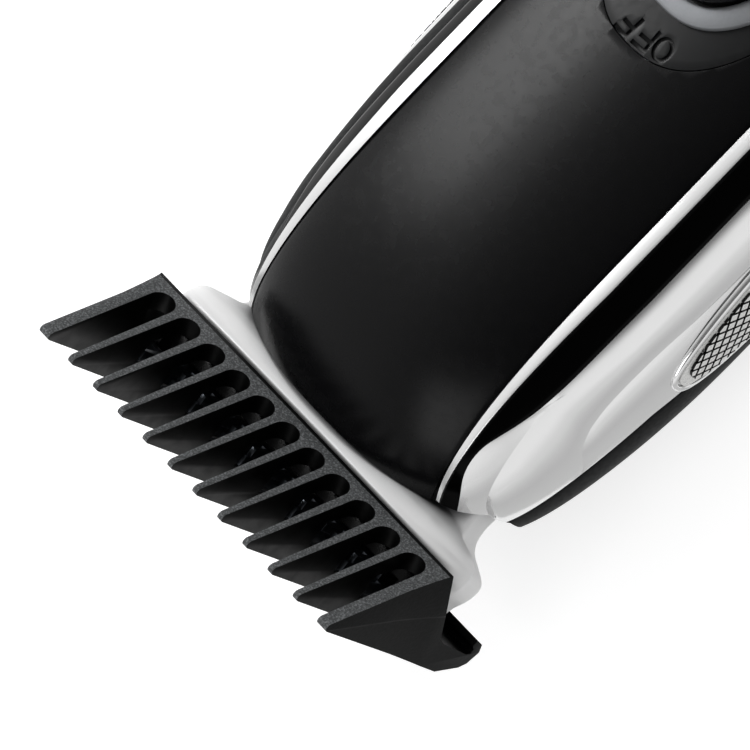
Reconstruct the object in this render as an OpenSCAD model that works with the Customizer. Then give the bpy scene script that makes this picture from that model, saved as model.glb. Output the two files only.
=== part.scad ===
// Cordless hair clipper with a guide comb on its blades, lying on its back.
// -Y is the blade end, +Z the switch face. A station is a distance from the comb's
// tips along the body, and a height is measured from the body's long axis.

/* [Body] */
// Length from the comb's tips to the tail
total_len = 176; // [170:1:190]
// Width of the grip
body_w = 45.8; // [44.4:0.2:48]
// Thickness of the grip
body_d = 31; // [30:0.2:34]
// Wall of the moulded shells
shell_t = 1.6; // [1.2:0.1:1.8]
// Length of the rounded tail cap
cap_len = 18; // [14:1:24]
// Wall of the tail cap
cap_t = 2; // [1.4:0.1:2.6]

/* [Front cover and trims] */
// Width of the satin front cover
cover_w = 29; // [26:0.5:30]
// Full width of the bright strips beside the cover
trim_w = 1.5; // [0.8:0.1:2]
// How far the strips stand above the cover's edge
trim_rise = 0.25; // [0.15:0.05:0.5]

/* [Switch] */
// Station of the switch's middle
switch_mid = 84.5; // [80:0.5:92]
// Length of the oval switch plate
plate_len = 48; // [46:0.5:54]
// Width of the oval switch plate
plate_w = 24; // [22:0.5:25]
// Length over the ring round the button
ring_len = 38.4; // [36:0.2:42]
// Width over the ring round the button
ring_w = 20.6; // [19:0.2:22]
// Width of the ring's face
ring_face = 2.2; // [1.4:0.1:2.4]
// How far the ring stands above the plate
ring_rise = 0.8; // [0.4:0.1:1.2]
// How far the button stands above the plate
button_rise = 2; // [1.4:0.1:3]
// Travel of the button from OFF to ON
switch_travel = 4; // [2:0.5:4.5]

/* [Side grips] */
// Station of the grips' middle
grip_mid = 68; // [66:0.5:74]
// Length of the knurled oval
grip_len = 56; // [40:1:58]
// Height of the knurled oval
grip_h = 7; // [5:0.2:8]
// Height of the oval's middle above the axis
grip_up = 1.6; // [0:0.2:2]
// Width of the raised rim round the oval
rim_w = 0.8; // [0.4:0.1:1.2]

/* [Guide comb] */
// How far the comb stands out beyond each side of the grip
comb_over = 0.2; // [0:0.05:0.6]
// Number of slots between the teeth
slot_count = 11; // [9:1:12]
// Thickness of the comb's end walls
comb_wall = 1.85; // [1.4:0.05:2.2]
// Thickness of a tooth
tooth_w = 0.95; // [0.8:0.05:1.4]
// Height of the teeth's tips above the axis
comb_tip_up = 19.7; // [19.2:0.1:20.5]
// Thickness of the teeth above the blades
tooth_depth = 2.6; // [2.2:0.1:2.8]
// How far the comb slides off
comb_travel = 25; // [10:1:40]

/* [Blades] */
// Gap between the fixed blade's ends and the comb's end walls
blade_side = 1.25; // [0.8:0.05:3]
// How far the moving blade's ends stay inside the fixed blade's
moving_side = 3.5; // [2.5:0.1:6]
// Thickness of the fixed blade
fixed_t = 1.2; // [0.8:0.1:1.4]
// Thickness of the moving blade
moving_t = 1; // [0.6:0.1:1.2]
// Distance from one cutting tooth to the next
tooth_pitch = 1.6; // [1.4:0.1:2.4]
// Lean of the blades from square across the body
blade_lean = 9; // [8:0.5:10]
// Throw of the eccentric each way
throw = 1; // [0.5:0.1:1]

/* [Drive] */
// Diameter of the motor
motor_dia = 24; // [20:0.5:24.4]
// Length of the motor's can
motor_len = 28; // [22:1:30]
// Station of the motor's front
motor_front = 35; // [34:0.5:36]
// Diameter of the motor's shaft
shaft_dia = 2; // [1.5:0.1:2.5]
// Diameter of the eccentric's pin
pin_dia = 2; // [1.4:0.1:2.2]

/* [Battery and board] */
// Diameter of a battery cell
cell_dia = 14.2; // [12:0.1:14.4]
// Length of a battery cell
cell_len = 48; // [40:0.5:50]
// Thickness of the circuit board
board_t = 1.2; // [0.8:0.1:1.6]
// Radius of the charging socket's bore
socket_r = 1.8; // [1.2:0.05:2]
// Depth of the charging socket's bore
socket_depth = 11; // [8:0.5:12]

/* [Clearances] */
// Seam between neighbouring shells
seam = 0.12; // [0.08:0.02:0.2]
// Gap between a piece and what carries it
seat = 0.15; // [0.1:0.05:0.2]
// Gap round what slides past a fixed piece
slide_gap = 0.3; // [0.2:0.05:0.4]
// Radial clearance of a turning shaft
run = 0.04; // [0.02:0.01:0.08]

/* [Hidden] */
$fn = 48;

axis_z = body_d / 2;
cap_start = total_len - cap_len;
top_power = 2.3;
under_power = 2.1;
sole_flat = 0.8;
nose_s = 13.2;
side_s = 18.6;
full_s = 46;
taper_s = 105;

// ---- the body's outer surface ----

function span(s, from, to) = max(0, (s - from) / (to - from));
function power(v, p) = sign(v) * pow(abs(v), p);
function nose(s) = span(-s, -full_s, -15);
function dome(s) = pow(max(0, 1 - pow(min(1, span(s, cap_start, total_len)), 2.4)), 1 / 2.4);
function half_w(s) = (body_w / 2 - 3.9 * pow(nose(s), 2) - 2.6 * pow(nose(s), 12)
    - 3.6 * pow(span(s, taper_s, total_len), 2)) * dome(s);
function crown(s) = (axis_z - 5.85 * pow(nose(s), 4)
    - 2.6 * pow(span(s, taper_s, total_len), 2)) * dome(s);
function belly(s) = (axis_z + sole_flat - 6 * pow(nose(s), 3)
    - 2.2 * pow(span(s, taper_s, total_len), 2)) * dome(s);

// Point at a station and an angle from the crown; the back is flattened at Z = 0.
function skin(s, a) = [
    half_w(s) * power(sin(a), 2 / (cos(a) > 0 ? top_power : under_power)),
    s - total_len / 2,
    max(0, axis_z + (cos(a) > 0 ? crown(s) * pow(cos(a), 2 / top_power)
        : -belly(s) * pow(-cos(a), 2 / under_power)))
];
function unit(v) = v / norm(v);
function outward(s, a) = unit(cross(skin(s, a + 1) - skin(s, a - 1),
    skin(s + 0.3, a) - skin(s - 0.3, a)));
function sunk(s, a, depth) = skin(s, a) - depth * outward(s, a);
function crown_at(s, x) = crown(s) * pow(1 - pow(min(1, abs(x) / half_w(s)), top_power), 1 / top_power);
function side_at(s, up) = half_w(s) * (up > 0
    ? pow(1 - pow(up / crown(s), top_power), 1 / top_power)
    : pow(1 - pow(-up / belly(s), under_power), 1 / under_power));

// ---- where one shell ends and the next starts, as angles from the crown ----

function angle_at_x(s, x) = asin(min(1, pow(x / half_w(s), top_power / 2)));
function angle_at_up(s, up) = up > 0
    ? acos(min(1, pow(up / crown(s), top_power / 2)))
    : 180 - acos(min(1, pow(-up / belly(s), under_power / 2)));
// The shells' front edge runs back from the crown to the sides.
function front_edge(a) = nose_s + (side_s - nose_s) * pow(min(1, 1 - cos(a)), 1.4)
    + 1.4 * pow(max(0, -cos(a)), 1.5);
function panel_top_x(s) = cover_w / 2 + 1.3 + 2.8 * pow(min(1, span(s, 20.6, 44)), 0.7)
    + 0.7 * pow(span(-s, -20.6, -16), 1.5);
function cover_edge(s) = angle_at_x(s, cover_w / 2);
function band_edge(s) = angle_at_x(s, cover_w / 2 + seam);
function band_low(s) = angle_at_x(s, min(panel_top_x(s), half_w(s) - 0.8));
function panel_low(s) = angle_at_up(s, 0.5 - 3.9 * min(1, span(s, 36, 62)));

// ---- closed solids from two grids of points ----

function quad(a, b, c, d) = [[a, c, b], [a, d, c]];
module solid_between(outer, inner, ring = false) {
    rows = len(outer);
    cols = len(outer[0]);
    n = rows * cols;
    last = ring ? cols : cols - 1;
    function at(i, j) = i * cols + j % cols;
    faces = concat(
        [for (i = [0:rows - 2], j = [0:last - 1])
            each quad(at(i, j), at(i, j + 1), at(i + 1, j + 1), at(i + 1, j))],
        [for (i = [0:rows - 2], j = [0:last - 1])
            each quad(n + at(i, j), n + at(i + 1, j), n + at(i + 1, j + 1), n + at(i, j + 1))],
        [for (j = [0:last - 1]) each quad(at(0, j), n + at(0, j), n + at(0, j + 1), at(0, j + 1))],
        [for (j = [0:last - 1]) each quad(at(rows - 1, j), at(rows - 1, j + 1),
            n + at(rows - 1, j + 1), n + at(rows - 1, j))],
        ring ? [] : [for (i = [0:rows - 2]) each quad(at(i, 0), at(i + 1, 0),
            n + at(i + 1, 0), n + at(i, 0))],
        ring ? [] : [for (i = [0:rows - 2]) each quad(at(i, cols - 1), n + at(i, cols - 1),
            n + at(i + 1, cols - 1), at(i + 1, cols - 1))]
    );
    points = [for (row = concat(outer, inner)) each row];
    polyhedron(points, faces);
}

// One moulded shell of the body, between two edges given as angles.
function shell_s(u, a) = let (f = front_edge(a)) f + (cap_start - seam - f) * pow(u, 1.5);
function shell_at(u, v, low, high) =
    let (s0 = shell_s(u, 45), a0 = low(s0) + (high(s0) - low(s0)) * v,
        s1 = shell_s(u, a0), a1 = low(s1) + (high(s1) - low(s1)) * v)
    [shell_s(u, a1), a1];
module shell_piece(low, high, steps, across, wall, proud = 0) {
    grid = [for (i = [0:steps]) [for (j = [0:across]) shell_at(i / steps, j / across, low, high)]];
    solid_between(
        [for (row = grid) [for (p = row) sunk(p[0], p[1], -proud)]],
        [for (row = grid) [for (p = row) sunk(p[0], p[1], wall)]]);
}

// ---- small helpers ----

module at_station(s, up = 0, x = 0) {
    translate([x, s - total_len / 2, axis_z + up]) children();
}
module along_body(r, h) {
    rotate([-90, 0, 0]) cylinder(r = r, h = h);
}
// Extrudes an outline given as [station, height] points across the body.
module across_body(outline, w, x = 0) {
    at_station(0, 0, x - w / 2) rotate([90, 0, 90]) linear_extrude(w) polygon(outline);
}
module both_sides() {
    children();
    mirror([1, 0, 0]) children();
}

// ---- guide comb ----

comb_rear = [11.7, 8.5];
comb_heel = [2.9, -3];
comb_tip_r = 0.5;
// Middle of the rounding at the tips, and where the faces leave it.
tip_c = [comb_tip_r, comb_tip_up - comb_tip_r];
function leaves_tip(p, side) = atan2(p[1] - tip_c[1], p[0] - tip_c[0])
    + side * acos(comb_tip_r / norm(p - tip_c));
face_angle = leaves_tip(comb_rear, 1);
sole_angle = leaves_tip(comb_heel, -1) + 360;
comb_slope = 90 - face_angle;
face_start = tip_c + comb_tip_r * [cos(face_angle), sin(face_angle)];
comb_run = norm(comb_rear - face_start);
comb_w = body_w + 2 * comb_over;
inner_half = comb_w / 2 - comb_wall;
slot_pitch = (2 * inner_half + tooth_w) / slot_count;
slot_w = slot_pitch - tooth_w;
under_rear = comb_rear - tooth_depth * [sin(comb_slope), cos(comb_slope)];
comb_outline = concat(
    [for (t = [0:6]) let (a = face_angle + t * (sole_angle - face_angle) / 6)
        tip_c + comb_tip_r * [cos(a), sin(a)]],
    [comb_heel, [4.6, -6.2], [5.4, -6.9], [7, -7.2], [7.8, -6.5], [7.9, -5.2], [7.2, -5.2],
        [6.9, -5.9], [6.4, -6], [6.1, -5.4], [5.95, -3.6], [5.7, -0.3], [5.9, 1], [8, 3.6], comb_rear]);

// Foot of the line that the fixed blade's front face stands on, and the blade's reach on it.
blade_foot = [6.5, -4.7];
blade_low = 2.2;
blade_top = 15;
function blade_pt(up, back) = blade_foot + up * [-sin(blade_lean), cos(blade_lean)]
    + back * [cos(blade_lean), sin(blade_lean)];

module guide_comb() {
    front_low = blade_pt(-0.7, -slide_gap);
    front_top = blade_pt(blade_top + slide_gap, -slide_gap);
    rear_top = blade_pt(blade_top + slide_gap, moving_y + moving_t + slide_gap);
    color("#26282a") difference() {
        across_body(comb_outline, comb_w);
        across_body([front_low, front_top, rear_top, under_rear, [12.5, 6.6], [12.5, -3.2], [8.5, -5.1],
            [7.2, -5.1], [6.9, -5.9]], 2 * inner_half);
        for (k = [-(slot_count - 1) / 2:(slot_count - 1) / 2])
            at_station(face_start[0], face_start[1], k * slot_pitch) rotate([-comb_slope, 0, 0]) comb_slot();
    }
}
// One slot with a round rear end, cut square to the comb's sloping face.
module comb_slot() {
    rear_bar = 1.3;
    end = comb_run - rear_bar - slot_w / 2;
    translate([0, 0, -26]) linear_extrude(30) polygon(concat([[-slot_w / 2, -4], [slot_w / 2, -4]],
        [for (a = [0:15:180]) [slot_w / 2 * cos(a), end + slot_w / 2 * sin(a)]]));
}

// ---- blades ----

fixed_w = 2 * (inner_half - blade_side);
moving_w = fixed_w - 2 * moving_side;
screw_x = fixed_w / 2 - 2.5;
screw_up = 4.2;
module blade_frame() {
    at_station(blade_foot[0], blade_foot[1]) rotate([blade_lean, 0, 0]) children();
}
// A flat toothed blade standing up from its heel.
module toothed_plate(w, low, high, depth, t) {
    n = floor((w - 2) / tooth_pitch);
    tip_w = tooth_pitch * 0.36;
    root_w = tooth_pitch * 0.62;
    edge = [for (i = [-(n - 1) / 2:(n - 1) / 2]) each [
        [i * tooth_pitch - root_w / 2, high - depth], [i * tooth_pitch - tip_w / 2, high],
        [i * tooth_pitch + tip_w / 2, high], [i * tooth_pitch + root_w / 2, high - depth]]];
    translate([0, t, 0]) rotate([90, 0, 0]) linear_extrude(t)
        polygon(concat([[w / 2, low], [-w / 2, low], [-w / 2, high - depth]], edge,
            [[w / 2, high - depth]]));
}
module fixed_blade() {
    color("#c9ccd0") blade_frame() difference() {
        toothed_plate(fixed_w, blade_low, blade_top, 3.6, fixed_t);
        both_sides() translate([screw_x, -1, screw_up]) {
            along_body(1.1, fixed_t + 2);
            along_body(1.8, 1.65);
        }
    }
}
moving_low = 5.7;
moving_y = fixed_t + 0.03;
module moving_blade() {
    color("#d6d8db") blade_frame() translate([0, moving_y, 0])
        toothed_plate(moving_w, moving_low, blade_top - 0.7, 3, moving_t);
}
module blade_screws() {
    color("#b6b9bd") blade_frame() both_sides() translate([screw_x, 0.03, screw_up]) {
        along_body(1.7, 0.6);
        along_body(0.95, 6);
    }
}

// ---- chrome neck that carries the blades ----

// Each row: station, half width, height above and below the axis, squareness of the section.
neck_half = body_w / 2 - 5.8;
flare = comb_w / 2 - 0.4;
neck_rows = [
    [5.4, flare - 2, 6.1, 4.5, 5], [8.5, flare - 1.6, 6.1, 4.8, 5],
    [9.9, flare - 1.1, 6.15, 5.5, 5], [11.95, flare, 7.9, 6.2, 6],
    [12.3, flare - 0.6, 7.85, 6.4, 5], [12.9, flare - 1.8, 7.6, 6.7, 3.8],
    [13.5, flare - 3, 7.15, 7, 3], [14.2, flare - 4, 6.45, 7.4, 2.4],
    [15, neck_half + 0.5, 6.2, 7.8, 2.1], [16.5, neck_half, 6.2, 8.6, 2.1],
    [20, neck_half, 8, 10, 2.3], [27, neck_half, 8, 10, 2.3]
];
neck_end = neck_rows[len(neck_rows) - 1][0];
cavity_half = neck_half - 2.1;
cavity_top = 4.6;
cavity_low = 3.9;
yoke_half = 11.5;
// Line behind which the neck's cheeks start, just clear of the comb's end walls.
cheek_gap = 0.25;
function neck_ring(r) = [for (j = [0:43]) let (a = j * 360 / 44) [
    r[1] * power(sin(a), 2 / r[4]), r[0] - total_len / 2,
    axis_z + (cos(a) > 0 ? r[2] : r[3]) * power(cos(a), 2 / r[4])]];
module neck_form() {
    rings = [for (r = neck_rows) neck_ring(r)];
    n = 44;
    last = (len(rings) - 1) * n;
    faces = concat(
        [for (i = [0:len(rings) - 2], j = [0:n - 1]) each quad(i * n + j, i * n + (j + 1) % n,
            (i + 1) * n + (j + 1) % n, (i + 1) * n + j)],
        [[for (j = [0:n - 1]) j]],
        [[for (j = [0:n - 1]) last + n - 1 - j]]);
    polyhedron([for (r = rings) each r], faces);
}
module neck_hole(x, s, low) {
    at_station(s, -low, x) translate([0, 0, -4]) cylinder(r = 1, h = 9);
}
neck_screw_s = 23.5;
neck_screw_x = 6.5;
module head_housing() {
    back_face = fixed_t + seat / 2;
    pocket_face = moving_y + moving_t + 0.3;
    clear_of_comb = [[0, 24], tip_c + [0, 5], comb_rear + [0.2, 3], comb_rear + [0.2, -0.1],
        [8.2, 3.6], [6.15, 0.9], [6.1, -4], [6.6, -8], [0, -8]];
    color("#dfe2e4") difference() {
        neck_form();
        blade_frame() translate([-30, -20, -10]) cube([60, 20 + back_face, 40]);
        blade_frame() translate([-30, -20, moving_low - 0.35]) cube([60, 20 + pocket_face, 40]);
        at_station(0, -cavity_low, -cavity_half)
            cube([2 * cavity_half, neck_end + 1, cavity_top + cavity_low]);
        both_sides() across_body(clear_of_comb, 4, inner_half + 2 - cheek_gap);
        blade_frame() both_sides() translate([screw_x, -1, screw_up]) along_body(1, 7.5);
        both_sides() neck_hole(neck_screw_x, neck_screw_s, 10);
    }
}
module neck_seal() {
    seal_from = 20.3;
    seal_len = 1.8;
    rear = neck_rows[len(neck_rows) - 1];
    inner = [seal_from, rear[1] + seat / 2, rear[2] + seat / 2, rear[3] + seat / 2, rear[4]];
    outer = [seal_from, half_w(seal_from) - shell_t - 0.3, crown(seal_from) - shell_t - 0.3,
        belly(seal_from) - shell_t - 0.3, under_power];
    function ring_at(r, ds) = [for (p = neck_ring(r)) p + [0, ds, 0]];
    color("#1b1b1b") solid_between([for (d = [0, seal_len]) ring_at(outer, d)],
        [for (d = [0, seal_len]) ring_at(inner, d)], true);
}

// ---- drive to the blades ----

yoke_rear = 16;
yoke_slot_half = pin_dia / 2 + 2 * throw + 0.2;
yoke_slot_up = pin_dia / 2 + throw + 0.2;
module cutter_yoke() {
    plate_back = moving_y + moving_t + 0.02;
    arm_half = yoke_slot_half + 1.8;
    arm_up = 3.4;
    color("#e8e6df") difference() {
        union() {
            blade_frame() translate([-yoke_half, plate_back, moving_low - 0.1])
                cube([2 * yoke_half, 1.6, 3.2]);
            at_station(9.2, -arm_up, -arm_half) cube([2 * arm_half, yoke_rear - 9.2, 2 * arm_up]);
        }
        at_station(11.5, -yoke_slot_up, -yoke_slot_half)
            cube([2 * yoke_slot_half, yoke_rear, 2 * yoke_slot_up]);
    }
}
module blade_springs() {
    leaf = 0.3;
    x = yoke_half - 1.6;
    foot = -cavity_low + 0.05;
    outline = [[13, foot], [16.5, foot], [16.5, foot + leaf], [13.1, foot + leaf],
        [9.8, 2.5], [9.75, 3.4], [9.45, 3.4], [9.5, 2.4]];
    color("#b9bcc0") both_sides() across_body(outline, 2.2, x);
}

// ---- body shells ----

oval_power = 2.5;
function oval_xy(len, w, a) = [w / 2 * power(sin(a), 2 / oval_power), len / 2 * power(cos(a), 2 / oval_power)];
module front_cover() {
    color("#141517") difference() {
        shell_piece(function (s) -cover_edge(s), function (s) cover_edge(s), 24, 12, shell_t);
        at_station(switch_mid) linear_extrude(axis_z + 5)
            polygon([for (j = [0:47]) oval_xy(plate_len + 2 * seam, plate_w + 2 * seam, j * 7.5)]);
    }
}
function trim_at(u) =
    let (p = shell_at(u, 0, function (s) cover_edge(s), function (s) cover_edge(s)), s = p[0],
        w = trim_w * (0.25 + 0.75 * pow(min(1, span(s, 14, 42)), 0.7)),
        x0 = cover_w / 2 + seam, x1 = x0 + w, y = s - total_len / 2, gap = 0.04,
        top = axis_z + crown_at(s, x0) + trim_rise)
    [[[x0, y, top], [x1 - w * 0.15, y, top], [x1, y, top - w * 0.12]],
        [[x0, y, axis_z + crown_at(s, x0) + gap], [x1 - w * 0.15, y, axis_z + crown_at(s, x1 - w * 0.15) + gap],
            [x1, y, axis_z + crown_at(s, x1) + gap]]];
module trim_strip() {
    rows = [for (i = [0:24]) trim_at(0.004 + 0.996 * i / 24)];
    solid_between([for (r = rows) r[0]], [for (r = rows) r[1]]);
}
module trim_right() {
    color("#e4e6e8") trim_strip();
}
module trim_left() {
    color("#e4e6e8") mirror([1, 0, 0]) trim_strip();
}
module side_band() {
    shell_piece(function (s) band_edge(s), function (s) band_low(s) - seam * 2, 24, 3, shell_t);
}
module side_band_right() {
    color("#0c0c0d") side_band();
}
module side_band_left() {
    color("#0c0c0d") mirror([1, 0, 0]) side_band();
}
module side_panel() {
    shell_piece(function (s) band_low(s), function (s) panel_low(s) - seam * 2, 24, 8, shell_t);
}
module side_panel_right() {
    color("#d5d8da") side_panel();
}
module side_panel_left() {
    color("#d5d8da") mirror([1, 0, 0]) side_panel();
}

// A patch laid on the side of the body: an oval between two sizes, from one height to another.
function side_oval(len, h, a, proud) = let (p = oval_xy(len, h, a), s = grip_mid + p[1], up = grip_up + p[0])
    [side_at(s, up) + proud, s - total_len / 2, axis_z + up];
module side_ring(inner, outer, low, high) {
    around = [for (j = [0:39]) j * 9];
    solid_between(
        [for (k = [1, 0.5, 0]) [for (a = around)
            side_oval(grip_len + inner + (outer - inner) * k, grip_h + inner + (outer - inner) * k, a, high)]],
        [for (k = [1, 0.5, 0]) [for (a = around)
            side_oval(grip_len + inner + (outer - inner) * k, grip_h + inner + (outer - inner) * k, a, low)]],
        true);
}
module side_pad(low, high) {
    rows = 28;
    function row(i, lift) = let (a = 4 + 172 * i / rows) [for (j = [0:4])
        let (edge = oval_xy(grip_len - seam * 2, grip_h - seam * 2, a),
            up = grip_up + edge[0] * (j - 2) / 2, s = grip_mid - edge[1])
        [side_at(s, up) + lift, s - total_len / 2, axis_z + up]];
    solid_between([for (i = [0:rows]) row(rows - i, high)], [for (i = [0:rows]) row(rows - i, low)]);
}
module grip_rim_right() {
    color("#e9ebec") side_ring(seam, 2 * rim_w, 0.06, 0.7);
}
module grip_rim_left() {
    color("#e9ebec") mirror([1, 0, 0]) side_ring(seam, 2 * rim_w, 0.06, 0.7);
}
module grip_right() {
    color("#b4b7b9") side_pad(0.06, 0.5);
}
module grip_left() {
    color("#b4b7b9") mirror([1, 0, 0]) side_pad(0.06, 0.5);
}

// The frame's two screws: behind the motor, and clear of the tail cap.
centre_screws = [71, cap_start - 11];
head_r = 2.5;
module back_shell() {
    color("#1a1b1d") difference() {
        shell_piece(function (s) panel_low(s), function (s) 360 - panel_low(s), 22, 26, shell_t);
        for (s = centre_screws) at_station(s, -axis_z) {
            translate([0, 0, -1]) cylinder(r = 1.3, h = 4);
            translate([0, 0, -1]) cylinder(r = head_r + 0.15, h = 1.9);
        }
        both_sides() at_station(neck_screw_s, -axis_z, neck_screw_x) {
            translate([0, 0, -1]) cylinder(r = 1.3, h = 9);
            translate([0, 0, -1]) cylinder(r = head_r + 0.15, h = neck_head_z + 1);
        }
    }
}
neck_head_z = 3.3;
module housing_screws() {
    color("#8e9195") {
        for (s = centre_screws) at_station(s, -axis_z) {
            translate([0, 0, 0.2]) cylinder(r = head_r, h = 0.65);
            translate([0, 0, 0.2]) cylinder(r = 0.95, h = 8);
        }
        both_sides() at_station(neck_screw_s, -axis_z, neck_screw_x) {
            translate([0, 0, neck_head_z - 0.65]) cylinder(r = head_r, h = 0.6);
            translate([0, 0, neck_head_z - 0.65]) cylinder(r = 0.95, h = 5.8);
        }
    }
}

// ---- tail cap and charging inlet ----

socket_body_r = 4;
socket_rear = total_len;
lens_up = 7;
lens_r = 1.2;
// Steps round the cap's dome, which stops at a flat face round the socket.
cap_steps = [0, 0.15, 0.3, 0.42, 0.53, 0.62, 0.7, 0.78];
cap_last = cap_steps[len(cap_steps) - 1];
function cap_ring(t, wall) =
    let (turn = sin(90 * t), k = pow(1 - pow(turn, 2.4), 1 / 2.4),
        w = (half_w(cap_start) - 2.2 * turn - wall) * k,
        up = (crown(cap_start) - 1.4 * turn - wall) * k,
        down = (belly(cap_start) - turn - wall) * k)
    [for (j = [0:35]) let (a = j * 10) [w * power(sin(a), 2 / (cos(a) > 0 ? top_power : under_power)),
        cap_start + (cap_len - wall) * turn / sin(90 * cap_last) - total_len / 2,
        axis_z + (cos(a) > 0 ? up * pow(cos(a), 2 / top_power) : -down * pow(-cos(a), 2 / under_power))]];
module cap_form(wall, back) {
    rings = [for (t = cap_steps) [for (p = cap_ring(t, wall)) p - [0, t == 0 ? back : 0, 0]]];
    n = 36;
    last = (len(rings) - 1) * n;
    polyhedron([for (r = rings) each r], concat(
        [for (i = [0:len(rings) - 2], j = [0:n - 1]) each quad(i * n + j, i * n + (j + 1) % n,
            (i + 1) * n + (j + 1) % n, (i + 1) * n + j)],
        [[for (j = [0:n - 1]) j]],
        [[for (j = [0:n - 1]) last + n - 1 - j]]));
}
module tail_cap() {
    color("#0f1011") difference() {
        cap_form(0, 0);
        cap_form(cap_t, 1);
        at_station(cap_start, 0) along_body(socket_body_r + seat, cap_len + 5);
        at_station(cap_start, lens_up) along_body(lens_r + seat, cap_len + 5);
    }
}

// ---- switch ----

// A ring draped over the crown between two ovals, from one height to another.
function crown_oval(len, w, a, lift) = let (p = oval_xy(len, w, a), s = switch_mid + p[1])
    [p[0], s - total_len / 2, axis_z + crown_at(s, p[0]) + lift];
module crown_ring(inner, outer, low, high) {
    function size(k) = inner + (outer - inner) * k / 3;
    function rows(lift) = [for (k = [0:3]) [for (j = [0:39])
        crown_oval(size(k)[0], size(k)[1], j * 9, lift)]];
    solid_between(rows(high), rows(low), true);
}
plate_t = 1.2;
stem_w = 4.6;
stem_len = 5.4;
stem_low = 12.6;
lever_w = 2;
lever_len = 3;
lever_top = 14;
button_w = ring_w - 2 * ring_face - 2 * slide_gap;
button_len = ring_len - 2 * ring_face - switch_travel - 2 * slide_gap;
// The button rests at the blade end of the ring.
button_mid = switch_mid - switch_travel / 2;
module switch_plate() {
    slot = [stem_len + switch_travel + 2, stem_w + 2];
    color("#101112") crown_ring(slot, [plate_len, plate_w], -plate_t, 0);
}
module switch_ring() {
    color("#8b8d90") crown_ring([ring_len - 2 * ring_face, ring_w - 2 * ring_face],
        [ring_len, ring_w], 0.04, ring_rise);
}
module switch_button() {
    rows = 24;
    function row(i, lift) = let (edge = oval_xy(button_len, button_w, 4 + 172 * i / rows),
        s = button_mid - edge[1])
        [for (j = [-3:3]) [edge[0] * j / 3, s - total_len / 2, axis_z + crown_at(s, edge[0] * j / 3) + lift]];
    color("#1b1c1e") difference() {
        union() {
            solid_between([for (i = [0:rows]) row(i, button_rise)], [for (i = [0:rows]) row(i, slide_gap)]);
            at_station(button_mid - stem_len / 2, stem_low, -stem_w / 2)
                cube([stem_w, stem_len, axis_z + 0.9 - stem_low]);
        }
        at_station(button_mid - lever_len / 2 - 0.1, stem_low - 1, -lever_w / 2 - 0.1)
            cube([lever_w + 0.2, lever_len + 0.2, lever_top + 1.1 - stem_low]);
    }
}
module switch_lever() {
    color("#d9d6cd") at_station(button_mid - lever_len / 2, board_up + 1, -lever_w / 2)
        cube([lever_w, lever_len, lever_top - board_up - 1]);
}
module slide_switch() {
    body_len = 12;
    body_w_in = 7;
    color("#7d7f82") difference() {
        at_station(switch_mid - body_len / 2, board_up + 0.05, -body_w_in / 2)
            cube([body_w_in, body_len, 2.4]);
        at_station(button_mid - lever_len / 2 - slide_gap, board_up + 0.8, -lever_w / 2 - slide_gap)
            cube([lever_w + 2 * slide_gap, lever_len + switch_travel + 2 * slide_gap, 3]);
    }
}

// ---- motor ----

motor_r = motor_dia / 2;
motor_rear = motor_front + motor_len;
motor_screw_x = 7.5;
bush_r = 2.8;
bush_len = 3;
end_cap_len = 4;
lead_x = 6;
lead_up = 3.6;
lead_r = 0.6;
module motor_can() {
    color("#a9adb1") difference() {
        at_station(motor_front) along_body(motor_r, motor_len);
        at_station(motor_front - 1) along_body(shaft_dia / 2 + 0.4, motor_len + 2);
        at_station(motor_front - 1) along_body(bush_r + 0.02, bush_len + 1);
        both_sides() at_station(motor_front - 1, 0, motor_screw_x) along_body(0.9, 5);
    }
}
module motor_end_cap() {
    color("#e9e7e0") difference() {
        at_station(motor_rear + 0.05) along_body(motor_r - 0.4, end_cap_len);
        at_station(motor_rear - 1) along_body(bush_r + 0.02, end_cap_len + 1);
        both_sides() at_station(motor_rear + end_cap_len - 1.5, lead_up, lead_x) along_body(lead_r + 0.15, 3);
    }
}
module motor_bushings() {
    color("#a6763f") for (s = [motor_front + 0.05, motor_rear + 0.1]) at_station(s) difference() {
        along_body(bush_r, bush_len - 0.1);
        translate([0, -1, 0]) along_body(shaft_dia / 2 + run, bush_len + 2);
    }
}
module motor_screws() {
    color("#8e9195") both_sides() at_station(bulkhead_s - 1.05, 0, motor_screw_x) {
        along_body(1.7, 1);
        along_body(0.85, 6.6);
    }
}
cam_front = 21.5;
cam_len = 6;
cam_r = 3.6;
module motor_shaft() {
    shaft_front = cam_front + 1;
    color("#c4c7cb") at_station(shaft_front)
        along_body(shaft_dia / 2, motor_rear + bush_len - shaft_front - 0.1);
}
module eccentric_cam() {
    pin_front = 13;
    color("#efece2") difference() {
        union() {
            at_station(cam_front) along_body(cam_r, cam_len);
            at_station(pin_front, 0, throw) along_body(pin_dia / 2, cam_front + 0.5 - pin_front);
        }
        at_station(cam_front + 0.95) along_body(shaft_dia / 2 + 0.02, cam_len);
    }
}
module motor_leads() {
    start = motor_rear + end_cap_len - 1;
    bend = board_front + 1.5;
    color("#a3201c") both_sides() at_station(start, lead_up, lead_x) {
        along_body(lead_r, bend - start);
        translate([0, bend - start, 0]) sphere(r = lead_r);
        translate([0, bend - start, 0]) cylinder(r = lead_r, h = board_up - board_t - 0.1 - lead_up);
    }
}

// ---- cells and board ----

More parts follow.
